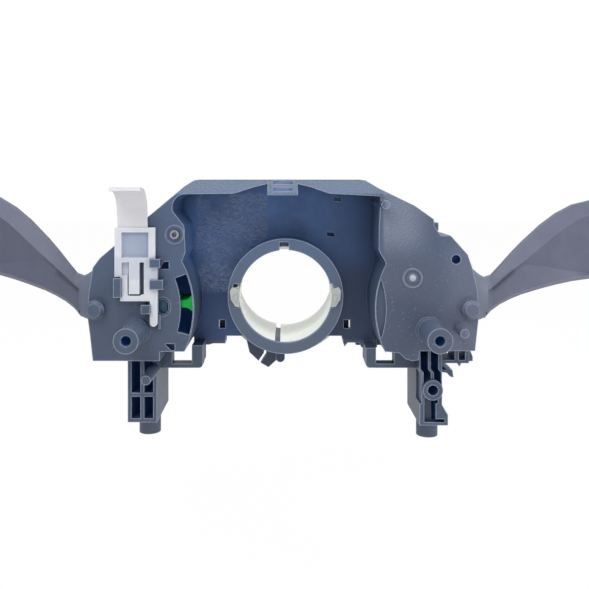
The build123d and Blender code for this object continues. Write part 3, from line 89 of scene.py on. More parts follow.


def linear(hex_colour):
    """An sRGB hex colour as linear red, green, blue and alpha."""
    parts = [int(hex_colour[i : i + 2], 16) / 255 for i in (1, 3, 5)]
    return [p / 12.92 if p <= 0.04045 else ((p + 0.055) / 1.055) ** 2.4 for p in parts] + [1.0]


def add(tree, kind, links=None, values=None, **settings):
    """Adds a node with its settings, input values and the sockets linked to its inputs."""
    node = tree.nodes.new(kind)
    for name, value in settings.items():
        setattr(node, name, value)
    for key, value in (values or {}).items():
        node.inputs[key].default_value = value
    for key, source in (links or {}).items():
        tree.links.new(source, node.inputs[key])
    return node


def new_material(name):
    """An empty material with its shader, output and the object's own coordinates."""
    material = bpy.data.materials.new(name)
    material.use_nodes = True
    tree = material.node_tree
    tree.nodes.clear()
    shader = add(tree, "ShaderNodeBsdfPrincipled")
    add(tree, "ShaderNodeOutputMaterial", {"Surface": shader.outputs["BSDF"]})
    coords = add(tree, "ShaderNodeTexCoord").outputs["Object"]
    return material, tree, shader, coords


def grain(tree, coords, size_mm, detail=3.0, stretch=(1, 1, 1), turn=(0, 0, 0)):
    """Noise from 0 to 1 with patches about size_mm across; a stretch below 1 draws them out on its axis."""
    place = add(
        tree,
        "ShaderNodeMapping",
        {"Vector": coords},
        {"Rotation": [radians(a) for a in turn], "Scale": [size_mm * MM / s for s in stretch]},
        vector_type="TEXTURE",
    )
    noise = add(
        tree,
        "ShaderNodeTexNoise",
        {"Vector": place.outputs["Vector"]},
        {"Scale": 1.0, "Detail": detail, "Roughness": 0.6},
    )
    return noise.outputs["Fac"]


def soft_box(tree, coords, low_mm, high_mm, soft_mm):
    """1 inside a box of the frame, falling to 0 over soft_mm outside it."""
    axes = add(tree, "ShaderNodeSeparateXYZ", {"Vector": coords})
    mask = None
    for axis, low, high in zip("XYZ", low_mm, high_mm):
        for edge, away in ((low, -soft_mm), (high, soft_mm)):
            if edge is None:
                continue
            side = add(
                tree,
                "ShaderNodeMapRange",
                {"Value": axes.outputs[axis]},
                {"From Min": (edge + away) * MM, "From Max": edge * MM},
                interpolation_type="SMOOTHSTEP",
            ).outputs["Result"]
            mask = side if mask is None else times(tree, mask, side)
    return mask


def near_axis(tree, coords, x_mm, z_mm, radius_mm, soft_mm):
    """1 within a radius of an axis along Y, falling to 0 over soft_mm outside it."""
    place = add(
        tree,
        "ShaderNodeVectorMath",
        {0: coords},
        {1: (x_mm * MM, 0, z_mm * MM)},
        operation="SUBTRACT",
    )
    flat = add(
        tree,
        "ShaderNodeVectorMath",
        {0: place.outputs["Vector"]},
        {1: (1, 0, 1)},
        operation="MULTIPLY",
    )
    far = add(tree, "ShaderNodeVectorMath", {0: flat.outputs["Vector"]}, operation="LENGTH")
    return stepped(tree, far.outputs["Value"], (radius_mm + soft_mm) * MM, radius_mm * MM)


def along(tree, coords, x_mm, z_mm, angle):
    """Coordinates from a point of the XZ plane, with X along a line at an angle to the frame's X."""
    place = add(
        tree,
        "ShaderNodeMapping",
        {"Vector": coords},
        {"Location": (x_mm * MM, 0, z_mm * MM), "Rotation": (0, -radians(angle), 0)},
        vector_type="TEXTURE",
    )
    return place.outputs["Vector"]


def most(tree, first, *others):
    """The largest of several sockets."""
    for other in others:
        first = add(tree, "ShaderNodeMath", {0: first, 1: other}, operation="MAXIMUM").outputs[0]
    return first


def stepped(tree, value, low, high, top=1.0):
    """A value remapped so that low gives 0 and high gives top."""
    node = add(
        tree,
        "ShaderNodeMapRange",
        {"Value": value},
        {"From Min": low, "From Max": high, "To Max": top},
        interpolation_type="SMOOTHSTEP",
    )
    return node.outputs["Result"]


def times(tree, first, *others):
    """The product of a socket with sockets or numbers."""
    for other in others:
        if isinstance(other, (int, float)):
            node = add(tree, "ShaderNodeMath", {0: first}, {1: other}, operation="MULTIPLY")
        else:
            node = add(tree, "ShaderNodeMath", {0: first, 1: other}, operation="MULTIPLY")
        first = node.outputs[0]
    return first


def tint(tree, mask, under, over, share=None):
    """The under colour turned towards the over colour by a share of the mask."""
    if share is not None:
        mask = times(tree, mask, share)
    node = add(tree, "ShaderNodeMix", {"Factor": mask}, data_type="RGBA")
    under_socket, over_socket, result = node.inputs[6], node.inputs[7], node.outputs[2]
    for socket, colour in ((under_socket, under), (over_socket, over)):
        if isinstance(colour, str):
            socket.default_value = linear(colour)
        else:
            tree.links.new(colour, socket)
    return result


def sharp_edges(tree, radius_mm, low, high):
    """1 along sharp outer and inner edges, from how far the rounded normal leaves the flat one."""
    rounded = add(tree, "ShaderNodeBevel", values={"Radius": radius_mm * MM}, samples=6)
    flat = add(tree, "ShaderNodeNewGeometry")
    same = add(
        tree,
        "ShaderNodeVectorMath",
        {0: rounded.outputs["Normal"], 1: flat.outputs["Normal"]},
        operation="DOT_PRODUCT",
    )
    return stepped(tree, same.outputs["Value"], high, low)


def open_places(tree, reach_mm):
    """1 on open faces and outer edges, falling to 0 in corners, gaps and holes."""
    node = add(tree, "ShaderNodeAmbientOcclusion", values={"Distance": reach_mm * MM}, samples=8)
    return node.outputs["AO"]


def bump(tree, shader, height, distance_mm):
    """Fine relief on a shader from a height."""
    node = add(
        tree,
        "ShaderNodeBump",
        {"Height": height},
        {"Distance": distance_mm * MM, "Strength": 1.0},
    )
    tree.links.new(node.outputs["Normal"], shader.inputs["Normal"])


def set_shader(shader, **values):
    """Sets the shader's own sockets."""
    for name, value in values.items():
        shader.inputs[name.replace("_", " ")].default_value = value


def glow(tree, shader, mask):
    """A painted faint blue glow for deep places, where the mask is 1."""
    tree.links.new(tint(tree, mask, BLACK, WELL_GLOW), shader.inputs["Emission Color"])
    set_shader(shader, Emission_Strength=1.0)


def give(material, *nodes):
    """Puts one material on CAD nodes."""
    for name in nodes:
        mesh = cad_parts[name].data
        mesh.materials.clear()
        mesh.materials.append(material)


# Settings


class HousingFinish(bpy.types.PropertyGroup):
    plastic: bpy.props.StringProperty(
        name="Plastic", description="Colour of the glass-filled plastic on the plates", default="#3a4a64"
    )
    floor: bpy.props.StringProperty(
        name="Recess floor", description="Bluer colour of the smooth recess floor", default="#213f6a"
    )
    haze: bpy.props.StringProperty(
        name="Haze", description="Colour of the hazy right plate", default="#474d61"
    )
    scuff: bpy.props.StringProperty(
        name="Scuffs", description="Colour of pale fibres in scuffed places", default="#94a2bd"
    )
    edge: bpy.props.StringProperty(name="Edges", description="Colour of rubbed edges", default="#98a5bb")
    speckle_mm: bpy.props.FloatProperty(
        name="Speckle",
        description="Width of the glass-fibre speckle in millimetres",
        default=0.5,
        min=0.1,
    )


class LeverFinish(bpy.types.PropertyGroup):
    plastic: bpy.props.StringProperty(
        name="Lever plastic", description="Colour of the satin levers", default="#4d5266"
    )
    light: bpy.props.StringProperty(
        name="Lever rub", description="Paler colour where the satin grain is rubbed", default="#595f73"
    )
    texture_mm: bpy.props.FloatProperty(
        name="Lever grain", description="Width of the eroded grain in millimetres", default=0.6, min=0.1
    )


class SleeveFinish(bpy.types.PropertyGroup):
    plastic: bpy.props.StringProperty(
        name="Sleeve plastic", description="Colour of the white sleeve", default="#eef1ec"
    )
    claws: bpy.props.StringProperty(
        name="Claws", description="Greyer colour of the handled claws", default="#a9afad"
    )


class LatchFinish(bpy.types.PropertyGroup):
    nylon: bpy.props.StringProperty(
        name="Nylon", description="Colour of the natural nylon slide", default="#d0d1d8"
    )
    web: bpy.props.StringProperty(
        name="Thin web", description="Greyer colour where the dark plate shows through", default="#9ba5ba"
    )
    glow_mm: bpy.props.FloatProperty(
        name="Glow depth",
        description="How far light spreads in the nylon, in millimetres",
        default=1.2,
        min=0.1,
    )


class SmallFinishes(bpy.types.PropertyGroup):
    green: bpy.props.StringProperty(
        name="Follower", description="Colour of the green detent follower", default="#00ad3c"
    )
    board: bpy.props.StringProperty(
        name="Board", description="Colour of the solder resist", default="#1f6a5c"
    )
    copper_pitch_mm: bpy.props.FloatProperty(
        name="Copper pitch",
        description="Distance between copper runs, in millimetres",
        default=2.5,
        min=0.5,
    )
    acetal: bpy.props.StringProperty(
        name="Acetal", description="Colour of the natural inner pieces", default="#dcdbd2"
    )
    steel: bpy.props.StringProperty(
        name="Steel", description="Colour of the zinc-plated steel", default="#9da0a8"
    )
    control: bpy.props.StringProperty(
        name="Controls", description="Colour of the wheel and the end button", default="#2c2e34"
    )


class StageLayout(bpy.types.PropertyGroup):
    camera_place: bpy.props.FloatVectorProperty(
        name="Camera place",
        description="Where the camera stands",
        default=(-0.00072, -0.336, 0.0544),
        subtype="XYZ",
    )
    camera_shift: bpy.props.FloatVectorProperty(
        name="Camera shift",
        description="How far the picture's middle lies right of and above the lens axis, in widths",
        default=(0.01783, -0.1893),
        size=2,
    )
    lens_mm: bpy.props.FloatProperty(
        name="Lens", description="Focal length for a 36 mm sensor, in millimetres", default=42.784
    )
    floor_drop: bpy.props.FloatProperty(
        name="Floor drop",
        description="How far the floor lies below the lowest piece",
        default=0.06,
        unit="LENGTH",
    )
    floor_width: bpy.props.FloatProperty(
        name="Floor width", description="Length of the floor's sides", default=6.0, unit="LENGTH"
    )
    floor_white: bpy.props.FloatProperty(
        name="Floor white", description="Share of plain white where the camera sees the floor", default=0.97
    )
    world_level: bpy.props.FloatProperty(
        name="Sky level", description="Level of the even light from all sides", default=0.55
    )
    key_power: bpy.props.FloatProperty(
        name="Key light", description="Power of the large lamp above the camera, in watts", default=5.0
    )
    paper: bpy.props.StringProperty(name="Paper", description="Colour of the floor", default="#f4f4f4")


# Finishes


class STALK_OT_housing(bpy.types.Operator):
    """Gives the housing, the cover and the plug socket their black glass-filled nylon"""

    bl_idname = "stalk.housing"
    bl_label = "Housing finish"

    def execute(self, context):
        look = context.scene.housing_finish
        # Black polyamide with short glass fibres, injection moulded: fibres at the skin scatter light
        # into a grey-blue haze, mould-polished floors get a painted blue sheen, and edges are painted pale.
        material, tree, shader, coords = new_material("glass_filled_nylon_moulded")
        speckle = grain(tree, coords, look.speckle_mm, 4.0)
        dots = grain(tree, coords, 0.75, 2.0)
        cloud = grain(tree, coords, 20.0, 4.0)
        open_face = open_places(tree, 9.0)
        # Plates and posts: fine speckle, with painted shade that makes them greyer below than above.
        colour = tint(tree, stepped(tree, speckle, 0.35, 0.7, 0.3), look.plastic, "#586783")
        below = soft_box(tree, coords, ANYWHERE, (None, None, -20), 40)
        colour = tint(tree, below, colour, "#3a4558", 0.7)
        colour = tint(tree, stepped(tree, cloud, 0.4, 0.7, 0.4), colour, "#354259")
        # Fine pale scratches from handling, the same kind as those in the recess.
        hair = grain(tree, coords, 0.6, 3.0, stretch=(0.12, 1, 1), turn=(0, -28, 0))
        rubs = times(tree, stepped(tree, hair, 0.62, 0.74), stepped(tree, cloud, 0.42, 0.6))
        colour = tint(tree, rubs, colour, look.scuff, 0.35)
        # Recess floor: polished, with a painted blue sheen, a bluer ground and a glare, that fades to the
        # right and downwards.
        floor = soft_box(tree, coords, *RECESS_FLOOR, 1)
        colour = tint(tree, floor, colour, look.floor)
        in_recess = soft_box(tree, coords, *IN_RECESS, 1)
        glare = times(tree, in_recess, soft_box(tree, coords, *FLOOR_GLARE, 26))
        colour = tint(tree, times(tree, glare, stepped(tree, cloud, 0.0, 0.9, 0.9)), colour, "#5079b4")
        # The collar's face is greyer than the floor behind it.
        collar = times(tree, near_axis(tree, coords, *COLLAR, 0.8), stepped(tree, speckle, 0.2, 0.62, 0.9))
        collar = times(tree, collar, soft_box(tree, coords, *COLLAR_FACE, 1))
        colour = tint(tree, collar, colour, "#49576b")
        # Painted shade darkens the floor towards its lower right.
        shade = times(tree, floor, soft_box(tree, coords, *FLOOR_SHADE, 22))
        colour = tint(tree, shade, colour, "#192b47", 0.75)
        # A patch of the floor is rubbed: a paler ground with fine scratches in three directions.
        ragged = grain(tree, coords, 6.0, 4.0)
        patch = soft_box(tree, coords, *FLOOR_RUBBED, 9)
        patch = add(tree, "ShaderNodeMath", {0: patch, 1: ragged}, operation="ADD").outputs[0]
        patch = stepped(tree, patch, 0.85, 1.25)
        scratches = []
        for turn in (46, 14, -30):
            stroke = grain(tree, coords, 0.26, 4.0, stretch=(0.08, 1, 1), turn=(0, turn, 0))
            scratches.append(stepped(tree, stroke, 0.52, 0.68))
        patchy = stepped(tree, grain(tree, coords, 11.0, 3.0), 0.3, 0.6)
        scratched = times(tree, patch, most(tree, *scratches), patchy)
        colour = tint(tree, patch, colour, "#4c5f86", 0.4)
        colour = tint(tree, scratched, colour, look.scuff, 0.62)
        # Right plate: a purple-grey haze with pale dust, thickest at its upper left.
        haze = soft_box(tree, coords, *RIGHT_PLATE, 2)
        colour = tint(tree, times(tree, haze, stepped(tree, cloud, 0.15, 0.75, 0.85)), colour, look.haze)
        outer = times(tree, haze, soft_box(tree, coords, *RIGHT_PLATE_OUTER, 14))
        colour = tint(tree, outer, colour, "#5d6478", 0.6)
        inner = times(tree, haze, soft_box(tree, coords, *RIGHT_PLATE_INNER, 14))
        colour = tint(tree, inner, colour, "#364158", 0.65)
        dust = times(tree, haze, stepped(tree, speckle, 0.25, 0.62, 0.75))
        dust = times(tree, dust, soft_box(tree, coords, *RIGHT_PLATE_DUST, 16))
        colour = tint(tree, dust, colour, "#7c8597")
        colour = tint(tree, times(tree, haze, stepped(tree, dots, 0.66, 0.74, 0.7)), colour, "#8a909f")
        # The little dome gets a painted highlight, pale at its middle.
        dome = near_axis(tree, coords, *DOME, 1.3)
        colour = tint(tree, times(tree, dome, haze), colour, "#a4abb8")
        # Top band: painted light makes it paler and more speckled, as its skin faces the light.
        band = times(tree, soft_box(tree, coords, *TOP_BAND, 1.5), stepped(tree, speckle, 0.2, 0.7, 0.85))
        band = times(tree, band, soft_box(tree, coords, *UNDER_TOP_FACE, 0.5))
        colour = tint(tree, band, colour, "#7d8fa6")
        # Painted shade darkens corners and channels, apart from the recess's right wall; the ladder's
        # windows get painted light.
        corners = stepped(tree, open_face, 0.7, 0.15)
        corners = times(tree, corners, soft_box(tree, coords, *BUT_TALL_POSTS, 1))
        colour = tint(tree, corners, colour, "#14233c", 0.6)
        colour = tint(tree, soft_box(tree, coords, *RIGHT_WALL, 1), colour, "#46566f", 0.4)
        colour = tint(tree, soft_box(tree, coords, *LADDER_WINDOWS, 0.2), colour, "#a9c0ea")
        colour = tint(tree, soft_box(tree, coords, *LUGS, 1), colour, "#1f2d42", 0.85)
        # Painted light on the sides of the tall posts, as they catch light from the plates.
        posts = most(tree, *(near_axis(tree, coords, *axis, POST_R, 0.2) for axis in POSTS))
        posts = times(tree, posts, stepped(tree, speckle, 0.25, 0.7, 0.65))
        posts = times(tree, posts, soft_box(tree, coords, *POST_SIDES, 0.2))
        colour = tint(tree, posts, colour, "#5d6a80")
        # Deep places get a painted navy shade and a painted glow: behind the slots and holes, and in the
        # posts and legs.
        hollows = most(tree, *(near_axis(tree, coords, *place, 0.3) for place in COMPARTMENTS))
        slots = most(tree, *(soft_box(tree, coords, *region, 0.4) for region in BEHIND_SLOTS))
        floor_holes = soft_box(tree, coords, *BEHIND_FLOOR_HOLES, 0.4)
        post_holes = most(tree, *(near_axis(tree, coords, *axis, POST_HOLE_R, 0.2) for axis in POSTS))
        post_holes = times(tree, post_holes, soft_box(tree, coords, *POST_HOLES, 0.8))
        pockets = times(tree, stepped(tree, open_face, 0.45, 0.15), 0.55)
        pockets = times(tree, pockets, soft_box(tree, coords, *LEG_POCKETS, 1.5))
        deep = most(tree, times(tree, hollows, slots), floor_holes, post_holes, pockets)
        colour = tint(tree, deep, colour, "#263f6b")
        # Outer edges are pale, partly rubbed and partly a painted highlight.
        edges = times(tree, sharp_edges(tree, 0.9, 0.8, 0.985), stepped(tree, open_face, 0.45, 0.75))
        colour = tint(tree, times(tree, edges, stepped(tree, speckle, 0.2, 0.5)), colour, look.edge)
        tree.links.new(colour, shader.inputs["Base Color"])
        rough = add(tree, "ShaderNodeMapRange", {"Value": cloud}, {"To Min": 0.4, "To Max": 0.58})
        tree.links.new(rough.outputs["Result"], shader.inputs["Roughness"])
        set_shader(shader, IOR=1.53)
        # The deep places also get a painted glow.
        glow(tree, shader, deep)
        bump(tree, shader, speckle, 0.04)
        give(material, "rear_housing", "front_cover", "connector_shroud")
        return {"FINISHED"}


class STALK_OT_sleeve(bpy.types.Operator):
    """Gives the split column sleeve its white acetal, greyer on the claws as painted shade"""

    bl_idname = "stalk.sleeve"
    bl_label = "Sleeve finish"

    def execute(self, context):
        look = context.scene.sleeve_finish
        # White acetal, injection moulded: a waxy satin skin that lets a little light in.
        material, tree, shader, coords = new_material("white_acetal_moulded")
        cloud = grain(tree, coords, 9.0, 4.0)
        lines = grain(tree, coords, 1.4, 2.0, stretch=(1, 0.12, 1))
        colour = tint(tree, stepped(tree, cloud, 0.35, 0.7, 0.5), look.plastic, "#f6f7f3")
        colour = tint(tree, stepped(tree, lines, 0.55, 0.75, 0.25), colour, "#ccd2cf")
        # Painted shade greys the claws.
        colour = tint(tree, soft_box(tree, coords, *SLEEVE_CLAWS, 0.5), colour, look.claws)
        edges = sharp_edges(tree, 0.5, 0.75, 0.98)
        colour = tint(tree, edges, colour, "#8f958f", 0.5)
        tree.links.new(colour, shader.inputs["Base Color"])
        set_shader(shader, Roughness=0.42, IOR=1.48, Subsurface_Weight=0.15, Subsurface_Scale=0.8 * MM)
        bump(tree, shader, lines, 0.02)
        give(material, "column_sleeve")
        return {"FINISHED"}


class STALK_OT_latch(bpy.types.Operator):
    """Gives the latch slide its natural nylon, greyer where its web is thin"""

    bl_idname = "stalk.latch"
    bl_label = "Latch slide finish"

    def execute(self, context):
        look = context.scene.latch_finish
        # Natural polyamide, injection moulded: milky and translucent, so thin webs look grey over
        # the dark plate and the edges glow, with painted light making them paler.
        material, tree, shader, coords = new_material("natural_nylon_moulded")
        cloud = grain(tree, coords, 7.0, 3.0)
        colour = tint(tree, stepped(tree, cloud, 0.3, 0.75, 0.6), look.nylon, "#c9cdd6")
        colour = tint(tree, soft_box(tree, coords, *SLIDE_TAB, 2), colour, "#d3d2d4", 0.7)
        colour = tint(tree, soft_box(tree, coords, *SLIDE_WINDOW, 0.5), colour, look.web)
        colour = tint(tree, soft_box(tree, coords, *SLIDE_LOW_WEB, 1.5), colour, look.web, 0.35)
        # Painted light makes the edges paler.
        edges = sharp_edges(tree, 0.5, 0.75, 0.98)
        colour = tint(tree, edges, colour, "#e6e7ea", 0.6)
        tree.links.new(colour, shader.inputs["Base Color"])
        set_shader(shader, Roughness=0.38, IOR=1.53)
        # Light spreads a little further in blue, which keeps the glow cool.
        set_shader(
            shader,
            Subsurface_Weight=0.35,
            Subsurface_Scale=look.glow_mm * MM,
            Subsurface_Radius=(1.0, 1.0, 1.1),
        )
        bump(tree, shader, cloud, 0.04)
        give(material, "lock_slide")
        return {"FINISHED"}


class STALK_OT_levers(bpy.types.Operator):
    """Gives both levers and the light knob their satin grey plastic"""

    bl_idname = "stalk.levers"
    bl_label = "Lever finish"

    def execute(self, context):
        look = context.scene.lever_finish
        # Grey-violet ABS with an eroded mould grain: dull satin, slightly paler where it is handled.
        material, tree, shader, coords = new_material("satin_abs_moulded")
        fine = grain(tree, coords, look.texture_mm, 3.0)
        cloud = grain(tree, coords, 16.0, 3.0)
        colour = tint(tree, stepped(tree, cloud, 0.3, 0.75, 0.6), look.plastic, look.light)
        colour = tint(tree, stepped(tree, fine, 0.5, 0.8, 0.35), colour, "#666c80")
        edges = sharp_edges(tree, 0.9, 0.8, 0.99)
        colour = tint(tree, edges, colour, "#878a99", 0.35)
        # Painted shade darkens hollow places, and most of all the fold of each neck.
        hollow = stepped(tree, open_places(tree, 16.0), 0.92, 0.5)
        colour = tint(tree, hollow, colour, PAINTED_SHADE, 0.75)
        start, end = (0, None, -FOLD_HALF_WIDTH), (FOLD_LENGTH, None, FOLD_HALF_WIDTH)
        folds = [soft_box(tree, along(tree, coords, *place), start, end, 2.4) for place in FOLDS]
        colour = tint(tree, most(tree, *folds), colour, PAINTED_SHADE, 0.7)
        # The necks are paler, partly rubbed and partly a painted highlight, and the left lever is a little
        # darker than the right one.
        both = add(tree, "ShaderNodeVectorMath", {0: coords}, operation="ABSOLUTE").outputs["Vector"]
        neck = soft_box(tree, both, *LEVER_NECKS, 3)
        colour = tint(tree, neck, colour, "#7f8a96", 0.3)
        left = soft_box(tree, coords, *LEFT_LEVER, 4)
        colour = tint(tree, left, colour, "#3d4356", 0.35)
        tree.links.new(colour, shader.inputs["Base Color"])
        set_shader(shader, Roughness=0.55, IOR=1.53)
        bump(tree, shader, fine, 0.03)
        names = ["light_knob"]
        for hand in ("wiper", "signal"):
            names += [hand + "_lever_root", hand + "_stalk_rear_shell", hand + "_stalk_front_shell"]
        give(material, *names)
        return {"FINISHED"}


class STALK_OT_small_plastics(bpy.types.Operator):
    """Gives the follower, the carriers, the cancelling parts and the controls their plastics"""

    bl_idname = "stalk.small_plastics"
    bl_label = "Small plastic pieces"

    def execute(self, context):
        look = context.scene.small_finishes
        # Green acetal, injection moulded: even, strong colour with a soft shine.
        material, tree, shader, coords = new_material("green_acetal_moulded")
        cloud = grain(tree, coords, 3.0, 3.0)
        colour = tint(tree, stepped(tree, cloud, 0.3, 0.75, 0.5), look.green, "#009a38")
        tree.links.new(colour, shader.inputs["Base Color"])
        set_shader(shader, Roughness=0.5, IOR=1.48, Specular_IOR_Level=0.25)
        bump(tree, shader, cloud, 0.02)
        give(material, "wiper_detent_follower", "signal_detent_follower")
        # Natural acetal, injection moulded: ivory white with a waxy shine.
        material, tree, shader, coords = new_material("natural_acetal_moulded")
        cloud = grain(tree, coords, 6.0, 3.0)
        colour = tint(tree, stepped(tree, cloud, 0.3, 0.75, 0.5), look.acetal, "#cfcec3")
        edges = sharp_edges(tree, 0.5, 0.75, 0.98)
        colour = tint(tree, edges, colour, "#f1f0e8", 0.4)
        tree.links.new(colour, shader.inputs["Base Color"])
        set_shader(shader, Roughness=0.4, IOR=1.48)
        bump(tree, shader, cloud, 0.03)
        give(material, "wiper_carrier", "signal_carrier", "cancel_ring", "cancel_pawl")
        # Black ABS, injection moulded with fine ribs: deep satin black that greys on rubbed edges.
        material, tree, shader, coords = new_material("black_abs_moulded")
        fine = grain(tree, coords, 0.7, 3.0)
        colour = tint(tree, stepped(tree, fine, 0.4, 0.8, 0.5), look.control, "#3d3f47")
        edges = sharp_edges(tree, 0.4, 0.75, 0.98)
        colour = tint(tree, edges, colour, "#6a6c75", 0.6)
        tree.links.new(colour, shader.inputs["Base Color"])
        set_shader(shader, Roughness=0.5, IOR=1.53)
        bump(tree, shader, fine, 0.03)
        give(material, "interval_wheel", "end_button")
        return {"FINISHED"}


class STALK_OT_electrics(bpy.types.Operator):
    """Gives the boards, chips, plug pins and contact bridges their finishes"""

    bl_idname = "stalk.electrics"
    bl_label = "Boards and contacts"

    def execute(self, context):
        look = context.scene.small_finishes
        # Glass-epoxy board under green solder resist, screen printed: glossy, with paler copper runs.
        material, tree, shader, coords = new_material("glass_epoxy_board_printed")
        cloud = grain(tree, coords, 5.0, 2.0)
        cells = add(
            tree,
            "ShaderNodeTexBrick",
            {"Vector": coords},
            {
                "Scale": 1 / (look.copper_pitch_mm * MM),
                "Mortar Size": 0.06,
                "Color1": linear(BLACK),
                "Color2": linear(BLACK),
                "Mortar": linear(WHITE),
            },
        )
        runs = times(tree, cells.outputs["Color"], stepped(tree, cloud, 0.45, 0.55, 0.6))
        colour = tint(tree, runs, look.board, "#3f9480")
        # Painted shade turns the board navy in deep places.
        shade = stepped(tree, open_places(tree, 12.0), 0.6, 0.2)
        colour = tint(tree, shade, colour, "#16356b", 0.85)
        tree.links.new(colour, shader.inputs["Base Color"])
        # Behind the floor's holes the board gets a painted glow and looks navy, as the deep wells do.
        glow(tree, shader, shade)
        set_shader(shader, Roughness=0.3, IOR=1.5)
        bump(tree, shader, cloud, 0.02)
        give(
            material,
            "main_board",
            "wiper_switch_board",
            "signal_switch_board",
            "wiper_stalk_board",
            "signal_stalk_board",
        )
        # Black epoxy, transfer moulded: dead matt and slightly gritty.
        material, tree, shader, coords = new_material("chip_epoxy_moulded")
        fine = grain(tree, coords, 0.5, 3.0)
        colour = tint(tree, stepped(tree, fine, 0.4, 0.7, 0.5), "#222326", "#34363a")
        tree.links.new(colour, shader.inputs["Base Color"])
        set_shader(shader, Roughness=0.7, IOR=1.55)
        bump(tree, shader, fine, 0.02)
        give(material, "board_chips")
        # Tinned brass, drawn and plated: soft silver shine with fine lines along the pins.
        material, tree, shader, coords = new_material("tinned_brass_drawn")
        lines = grain(tree, coords, 0.5, 3.0, stretch=(1, 1, 0.1))
        colour = tint(tree, stepped(tree, lines, 0.3, 0.7, 0.6), "#c9c8c2", "#a8a79f")
        tree.links.new(colour, shader.inputs["Base Color"])
        set_shader(shader, Metallic=1.0, Roughness=0.28)
        bump(tree, shader, lines, 0.01)
        give(material, "connector_pins")
        # Phosphor bronze strip, stamped: warm metal with a dull rolled skin.
        material, tree, shader, coords = new_material("phosphor_bronze_stamped")
        lines = grain(tree, coords, 0.5, 3.0, stretch=(0.1, 1, 1))
        colour = tint(tree, stepped(tree, lines, 0.3, 0.7, 0.6), "#c08a5a", "#9c6b42")
        tree.links.new(colour, shader.inputs["Base Color"])
        set_shader(shader, Metallic=1.0, Roughness=0.33)
        bump(tree, shader, lines, 0.01)
        give(material, "wiper_contact_bridge", "signal_contact_bridge")
        return {"FINISHED"}


class STALK_OT_steel(bpy.types.Operator):
    """Gives the screws, pins and springs their metals"""

    bl_idname = "stalk.steel"
    bl_label = "Screws, pins and springs"

    def execute(self, context):
        look = context.scene.small_finishes
        # Steel screws, rolled and zinc plated: bright grey with faint cloudy passivation.
        material, tree, shader, coords = new_material("zinc_plated_steel_rolled")
        cloud = grain(tree, coords, 1.2, 3.0)
        colour = tint(tree, stepped(tree, cloud, 0.35, 0.7, 0.7), look.steel, "#7c8088")
        # The socket and the ring round the head are darker.
        socket_dark = stepped(tree, open_places(tree, 1.6), 0.9, 0.45)
        colour = tint(tree, socket_dark, colour, "#262a31", 0.85)
        tree.links.new(colour, shader.inputs["Base Color"])
        set_shader(shader, Metallic=1.0, Roughness=0.38)
        bump(tree, shader, cloud, 0.02)
        give(material, "cover_screws", "plate_screw")
        # Spring steel wire, drawn: darker grey with a fine uneven skin.
        material, tree, shader, coords = new_material("spring_wire_drawn")
        fine = grain(tree, coords, 0.4, 3.0)
        colour = tint(tree, stepped(tree, fine, 0.35, 0.7, 0.7), "#a2a4a8", "#7c7f85")
        tree.links.new(colour, shader.inputs["Base Color"])
        set_shader(shader, Metallic=1.0, Roughness=0.36)
        bump(tree, shader, fine, 0.01)
        springs = ["cancel_pawl_spring", "end_button_spring"]
        for hand in ("wiper", "signal"):
            springs += [hand + "_detent_spring", hand + "_pull_spring"]
        give(material, *springs)
        # Steel pins, centreless ground: smooth and bright with fine rings.
        material, tree, shader, coords = new_material("pin_steel_ground")
        rings = grain(tree, coords, 0.4, 2.0, stretch=(0.1, 0.1, 1))
        colour = tint(tree, stepped(tree, rings, 0.3, 0.7, 0.5), "#c9cace", "#a9abb1")
        tree.links.new(colour, shader.inputs["Base Color"])
        set_shader(shader, Metallic=1.0, Roughness=0.25)
        bump(tree, shader, rings, 0.01)
        give(material, "wiper_pull_pin", "signal_pull_pin")
        return {"FINISHED"}


# Stage


